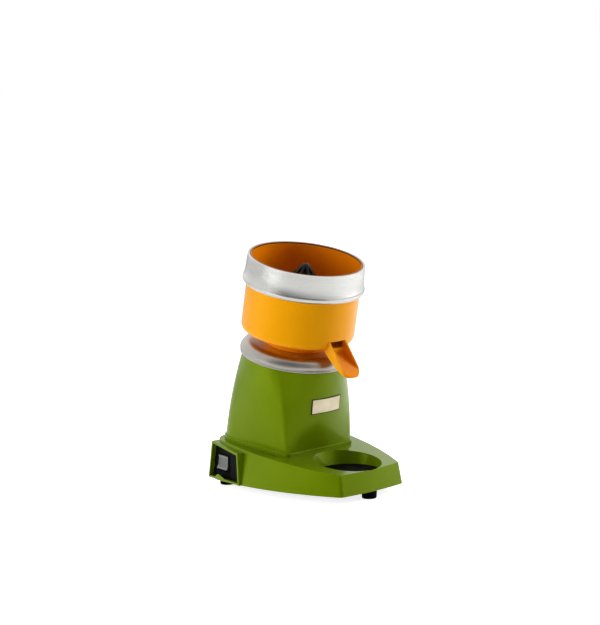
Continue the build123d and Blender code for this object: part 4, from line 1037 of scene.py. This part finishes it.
@dataclass
class StrainerSet(Assembly):
    """Slotted basket under the cone, cut by a node tree, and the bush in its neck."""

    nodes: tuple[str, ...] = ("reamer_bush",)
    bore: float = 14.2
    neck: float = 15.7
    neck_foot: float = 58.0
    neck_top: float = 78.0
    floor: float = 70.0
    floor_radius: float = 68.8
    rest: float = 92.0
    wall_radius: float = 73.8
    flange_radius: float = 78.8
    sheet: float = 1.2
    bend: float = 1.2
    sides: int = 192
    slots: int = 24
    slot_width: float = 2.4
    slot_length: float = 17.4
    slot_near: float = 24.0
    bridge: float = 4.0
    cutter_sides: int = 16
    cutter_sheets: float = 4.0

    def outline(self) -> list[Point]:
        """Lays out the section of the pressed basket.

        Returns:
            The closed outline, with rounded bends.
        """
        top = self.floor + self.sheet
        rest = self.rest + self.sheet
        corners = [
            (self.bore, self.neck_foot), (self.neck, self.neck_foot), (self.neck, self.floor),
            (self.floor_radius, self.floor), (self.wall_radius, self.rest), (self.flange_radius, self.rest),
            (self.flange_radius, rest), (self.wall_radius - self.sheet, rest),
            (self.floor_radius - self.sheet, top), (self.neck, top), (self.neck, self.neck_top),
            (self.bore, self.neck_top),
        ]
        return soften(corners, self.bend)

    def wired(self, wire: Wiring, given: Outputs) -> Socket:
        """Wires round-ended cutters, set in two staggered rows and cut from the floor.

        Args:
            wire: Wiring of the tree.
            given: The tree's inputs.

        Returns:
            The socket of the cut basket.
        """
        pin = wire.node("GeometryNodeMeshCylinder", {
            "Vertices": self.cutter_sides, "Radius": wire.times(given["Slot Width"], 0.5), "Depth": given["Depth"],
        }).outputs[0]
        pin = wire.lifted(pin, 0.0, math.pi / self.cutter_sides)
        parts = wire.parts(wire.node("GeometryNodeInputPosition").outputs[0])
        reach = wire.times(wire.math("SUBTRACT", given["Slot Length"], given["Slot Width"]), 0.5)
        stretch = wire.vector(wire.times(wire.math("SIGN", parts[0]), reach))
        cutter = wire.node("GeometryNodeSetPosition", {"Geometry": pin, "Offset": stretch}).outputs[0]
        outward = wire.vector(z=wire.math("ARCTAN2", parts[1], parts[0]))
        rows = wire.node("GeometryNodeJoinGeometry")
        half_pitch = wire.math("DIVIDE", math.pi, given["Slots"])
        for radius, turn in ((given["First Row"], 0.0), (given["Second Row"], half_pitch)):
            ring = wire.node("GeometryNodeMeshCircle", {"Vertices": given["Slots"], "Radius": radius}).outputs[0]
            spots = wire.lifted(ring, given["Floor"], turn)
            numbers = {"Points": spots, "Instance": cutter, "Rotation": outward}
            copies = wire.node("GeometryNodeInstanceOnPoints", numbers)
            wire.tree.links.new(copies.outputs[0], rows.inputs[0])
        loose = wire.node("GeometryNodeRealizeInstances", {0: rows.outputs[0]}).outputs[0]
        return wire.boolean("DIFFERENCE", [loose], given["Geometry"])

    def pieces(self) -> list[Piece]:
        """Turns the basket and cuts its slots.

        Returns:
            The basket.
        """
        piece = mesh_piece("slotted_basket", lathe(self.outline(), self.sides))
        first = self.slot_near + self.slot_length / 2
        run_tree(piece, "Cut slots", self.wired, FINISHES["stainless"], {
            "Slots": self.slots, "Slot Width": self.slot_width * MM, "Slot Length": self.slot_length * MM,
            "First Row": first * MM, "Second Row": (first + self.slot_length + self.bridge) * MM,
            "Floor": self.floor * MM, "Depth": self.cutter_sheets * self.sheet * MM,
        })
        return [settle(piece, AXIS.matrix(), "strainer_basket", "stainless", "strainer")]


@dataclass
class ConeSet(Assembly):
    """Ribbed cone that presses the fruit: a turned body on which a node tree raises the ribs."""

    nodes: tuple[str, ...] = ()
    ribs: int = 8
    rib_stand: float = 3.2
    rib_thick: float = 2.6
    flank: float = 1.5
    radius: float = 38.0
    foot: float = 80.0
    rim: float = 3.0
    rim_round: float = 0.8
    rim_ease: Point = (0.2, 0.25)
    edge_break: float = 0.6
    base_radius: float = 34.8
    shoulder: Point = (22.5, 108.0)
    nose: Point = (3.0, 134.8)
    tip: float = 136.3
    tip_ease: Point = (1.6, 0.35)
    hollow_mouth: float = 30.0
    hollow_end: float = 24.0
    hollow_wall: float = 19.5
    hollow_rise: float = 16.0
    stub_radius: float = 11.0
    stub_foot: float = 68.0
    bore: float = 6.4
    bore_top: float = 112.4
    slot_half: float = 9.4
    slot_width: float = 4.8
    slot_top: float = 98.4
    slot_overrun: float = 5.0
    sides: int = 320
    runs: int = 44
    slack: float = 0.01
    bore_slack: float = 0.1
    top_slack: float = 1.0

    def outline(self) -> tuple[list[Point], int]:
        """Lays out the turned section.

        Returns:
            The outline from the tip round the rim and the underside into the bore, and how many of its points
            carry ribs.
        """
        rim_top = self.foot + self.rim
        hollow_top = self.foot + self.hollow_rise
        top = [(0.0, self.tip), (self.tip_ease[0], self.tip - self.tip_ease[1])]
        top += list(reversed(arc((self.base_radius, rim_top), self.shoulder, self.nose, self.runs)))
        rest = [
            (self.radius - self.rim_round, rim_top), (self.radius - self.rim_ease[0], rim_top - self.rim_ease[1]),
            (self.radius, rim_top - self.rim_round), (self.radius, self.foot + self.edge_break),
            (self.radius - self.edge_break, self.foot), (self.hollow_mouth, self.foot),
            (self.hollow_end, hollow_top), (self.hollow_wall, hollow_top), (self.hollow_wall, self.foot),
            (self.stub_radius, self.foot), (self.stub_radius, self.stub_foot + self.edge_break),
            (self.stub_radius - self.edge_break, self.stub_foot), (self.bore, self.stub_foot),
            (self.bore, self.bore_top), (0.0, self.bore_top),
        ]
        return top + rest, len(top)

    def wired(self, wire: Wiring, given: Outputs) -> Socket:
        """Wires the ribs that rise on the turned body and the slot that is cut for the drive pin.

        Args:
            wire: Wiring of the tree.
            given: The tree's inputs.

        Returns:
            The socket of the ribbed cone.
        """
        parts = wire.parts(wire.node("GeometryNodeInputPosition").outputs[0])
        sector = wire.math("DIVIDE", 2 * math.pi, given["Rib Count"])
        turned = wire.math("DIVIDE", wire.math("ARCTAN2", parts[1], parts[0]), sector)
        offset = wire.times(wire.math("SUBTRACT", wire.math("FRACT", turned), 0.5), sector)
        across = wire.math("ABSOLUTE", wire.times(wire.radius(parts), wire.math("SINE", offset)))
        half = given["Rib Half Thickness"]
        rise = wire.ranged(across, half, wire.math("ADD", half, given["Flank"]), given["Rib Stand"], 0.0)
        mask = wire.node("GeometryNodeInputNamedAttribute", {"Name": "ribbed"}, data_type="FLOAT").outputs[0]
        normal = wire.node("GeometryNodeInputNormal").outputs[0]
        numbers = {0: normal, "Scale": wire.times(rise, mask)}
        shift = wire.node("ShaderNodeVectorMath", numbers, operation="SCALE").outputs[0]
        raised = wire.node("GeometryNodeSetPosition", {"Geometry": given["Geometry"], "Offset": shift}).outputs[0]
        block = wire.node("GeometryNodeMeshCube", {"Size": given["Slot Size"]}).outputs[0]
        return wire.boolean("DIFFERENCE", [wire.lifted(block, given["Slot Middle"])], raised)

    def mark_ribs(self, data: bpy.types.Mesh, heights: set[float]) -> None:
        """Marks the points of the pressing face, which the ribs rise from.

        Args:
            data: The turned mesh, which gets the point attribute.
            heights: Heights of the face's rings in millimetres.
        """
        mask = data.attributes.new("ribbed", "FLOAT", "POINT")
        for vertex, value in zip(data.vertices, mask.data):
            out, height = math.hypot(vertex.co.x, vertex.co.y) / MM, vertex.co.z / MM
            on_ring = round(height, 3) in heights and out < self.base_radius + self.slack
            over_bore = out > self.bore + self.bore_slack or height > self.bore_top + self.top_slack
            over_rim = height > self.foot + self.rim - self.slack
            value.value = 1.0 if on_ring and over_rim and over_bore else 0.0

    def pieces(self) -> list[Piece]:
        """Makes the cone and sets it in the juicer's frame.

        Returns:
            The piece that stands for the reamer.
        """
        outline, ribbed = self.outline()
        piece = mesh_piece("squeeze_cone", lathe(outline, self.sides))
        self.mark_ribs(piece.data, {round(height, 3) for _, height in outline[:ribbed]})
        slot_foot = self.stub_foot - self.slot_overrun
        slot = (2 * self.slot_half * MM, self.slot_width * MM, (self.slot_top - slot_foot) * MM)
        # the cone takes the lighter black moulding, its painted highlight
        run_tree(piece, "Raised ribs", self.wired, FINISHES["cone_painted_highlight_plastic"], {
            "Rib Count": self.ribs, "Rib Stand": self.rib_stand * MM,
            "Rib Half Thickness": self.rib_thick / 2 * MM, "Flank": self.flank * MM, "Slot Size": slot,
            "Slot Middle": (slot_foot + self.slot_top) / 2 * MM,
        })
        return [settle(piece, AXIS.matrix(), "cone", "black_plastic", "reamer")]


@dataclass(frozen=True)
class Softbox:
    """A square lamp that lights the juicer and doesn't show in its reflections, in metres and watts."""

    name: str
    place: Triple
    aim: Triple
    width: float
    power: float

    def hang(self) -> None:
        """Hangs the lamp so that it faces its aim."""
        data = bpy.data.lights.new(self.name, "AREA")
        data.shape = "RECTANGLE"
        data.size = data.size_y = self.width
        data.energy = self.power
        made = linked(self.name, data)
        facing = (Vector(self.aim) - Vector(self.place)).to_track_quat("-Z", "Y")
        made.matrix_world = Matrix.Translation(self.place) @ facing.to_matrix().to_4x4()
        made.visible_glossy = False


@dataclass
class Studio:
    """Camera, floor, world and lamps.

    The ranges of the world are cosines between a direction and the one to the camera.
    """

    azimuth: float = -43.8
    elevation: float = 9.3
    roll: float = -1.1
    distance: float = 4.0
    aim_height: float = 0.1765
    aim_right: float = 0.0078
    aim_up: float = 0.0751
    lens: float = 158.1
    sensor: float = 36.0
    far: float = 60.0
    floor_half: float = 6.0
    floor_tone: float = 0.90
    floor_glow: float = 0.80
    floor_shine: float = 0.13
    ambient_behind: float = 0.52
    ambient_ahead: float = 0.14
    ambient_range: Point = (-0.6, 0.6)
    sides: float = 0.88
    sweep_range: Point = (-0.8, -0.4)
    room: float = 0.20
    room_range: Point = (0.45, 0.85)
    lamps: tuple[Softbox, ...] = (
        Softbox("left_box", (-2.21, 0.87, 0.6), (0.0, 0.0, 0.18), 1.4, 39.0),
        Softbox("right_box", (2.00, -1.15, 1.0), (0.0, 0.0, 0.18), 1.4, 42.0),
        Softbox("top_box", (0.2, 0.3, 2.4), (0.0, 0.0, 0.2), 1.2, 20.0),
    )

    def back(self) -> Vector:
        """Gives the direction from the juicer to the camera."""
        turn, rise = math.radians(self.azimuth), math.radians(self.elevation)
        return Vector((math.sin(turn) * math.cos(rise), -math.cos(turn) * math.cos(rise), math.sin(rise)))

    def camera(self) -> None:
        """Sets the camera at the photograph's viewing angle."""
        turn, roll = math.radians(self.azimuth), math.radians(self.roll)
        back = self.back()
        right = Vector((math.cos(turn), math.sin(turn), 0.0))
        up = back.cross(right)
        across = math.cos(roll) * right + math.sin(roll) * up
        above = -math.sin(roll) * right + math.cos(roll) * up
        aim = Vector((AXIS.origin[0], AXIS.origin[1], self.aim_height))
        place = aim + back * self.distance + across * self.aim_right + above * self.aim_up
        data = bpy.data.cameras.new("photo_camera")
        data.lens = self.lens
        data.sensor_width = self.sensor
        data.clip_end = self.far
        made = linked("photo_camera", data)
        made.matrix_world = Matrix.Translation(place) @ Matrix((across, above, back)).transposed().to_4x4()
        bpy.context.scene.camera = made

    @staticmethod
    def seen(wire: Wiring, path: Outputs) -> Socket:
        """Gives 1 for what the camera sees, straight or through something clear."""
        return wire.math("MAXIMUM", path["Is Camera Ray"], path["Is Transmission Ray"])

    def floor(self) -> None:
        """Lays the pale floor, which shows white to the camera and still takes the juicer's shadow."""
        shape = bmesh.new()
        bmesh.ops.create_grid(shape, x_segments=2, y_segments=2, size=self.floor_half)
        made = mesh_piece("floor", shape)
        paint = bpy.data.materials.new("Pale floor")
        wire = Wiring.cleared(paint)
        path = wire.node("ShaderNodeLightPath").outputs
        shine = wire.math("ADD", wire.times(self.seen(wire, path), self.floor_glow),
                          wire.times(path["Is Glossy Ray"], self.floor_shine))
        card = wire.node("ShaderNodeBsdfDiffuse", {"Color": (self.floor_tone,) * 3 + (1.0,)})
        glow = wire.node("ShaderNodeEmission", {"Color": WHITE, "Strength": shine})
        both = wire.node("ShaderNodeAddShader", {0: card.outputs[0], 1: glow.outputs[0]})
        wire.node("ShaderNodeOutputMaterial", {"Surface": both.outputs[0]})
        made.data.materials.append(paint)

    def world(self) -> None:
        """Makes a soft world that shows white to the camera, with a white sweep and a dim room in reflections."""
        world = bpy.data.worlds.new("Soft studio")
        wire = Wiring.cleared(world)
        path = wire.node("ShaderNodeLightPath").outputs
        way = {0: wire.node("ShaderNodeTexCoord").outputs["Generated"], 1: self.back()}
        ahead = wire.node("ShaderNodeVectorMath", way, operation="DOT_PRODUCT").outputs["Value"]
        sweep = wire.ranged(ahead, *self.sweep_range, 1.0, self.sides)
        room = wire.ranged(ahead, *self.room_range, sweep, self.room)
        ambient = wire.ranged(ahead, *self.ambient_range, self.ambient_behind, self.ambient_ahead)
        lit = wire.node("ShaderNodeMix", {0: path["Is Glossy Ray"], 2: ambient, 3: room}).outputs[0]
        strength = wire.node("ShaderNodeMix", {0: self.seen(wire, path), 2: lit, 3: 1.0}).outputs[0]
        sky = wire.node("ShaderNodeBackground", {"Color": WHITE, "Strength": strength})
        wire.node("ShaderNodeOutputWorld", {"Surface": sky.outputs[0]})
        bpy.context.scene.world = world

    def build(self) -> None:
        """Sets the whole studio."""
        self.camera()
        self.floor()
        self.world()
        for lamp in self.lamps:
            lamp.hang()
        bpy.context.scene.view_settings.view_transform = "Standard"


def main() -> None:
    """Builds the studio and the juicer's sub-assemblies in order and reports each piece."""
    logging.basicConfig(level=logging.INFO, format="%(name)s: %(message)s")
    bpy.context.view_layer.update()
    Studio().build()
    for assembly in (Housing(), Underside(), SwitchSet(), SealSet(), MotorSet(), BowlSet(), StrainerSet(), ConeSet()):
        assembly.build()


if __name__ == "__main__":
    main()
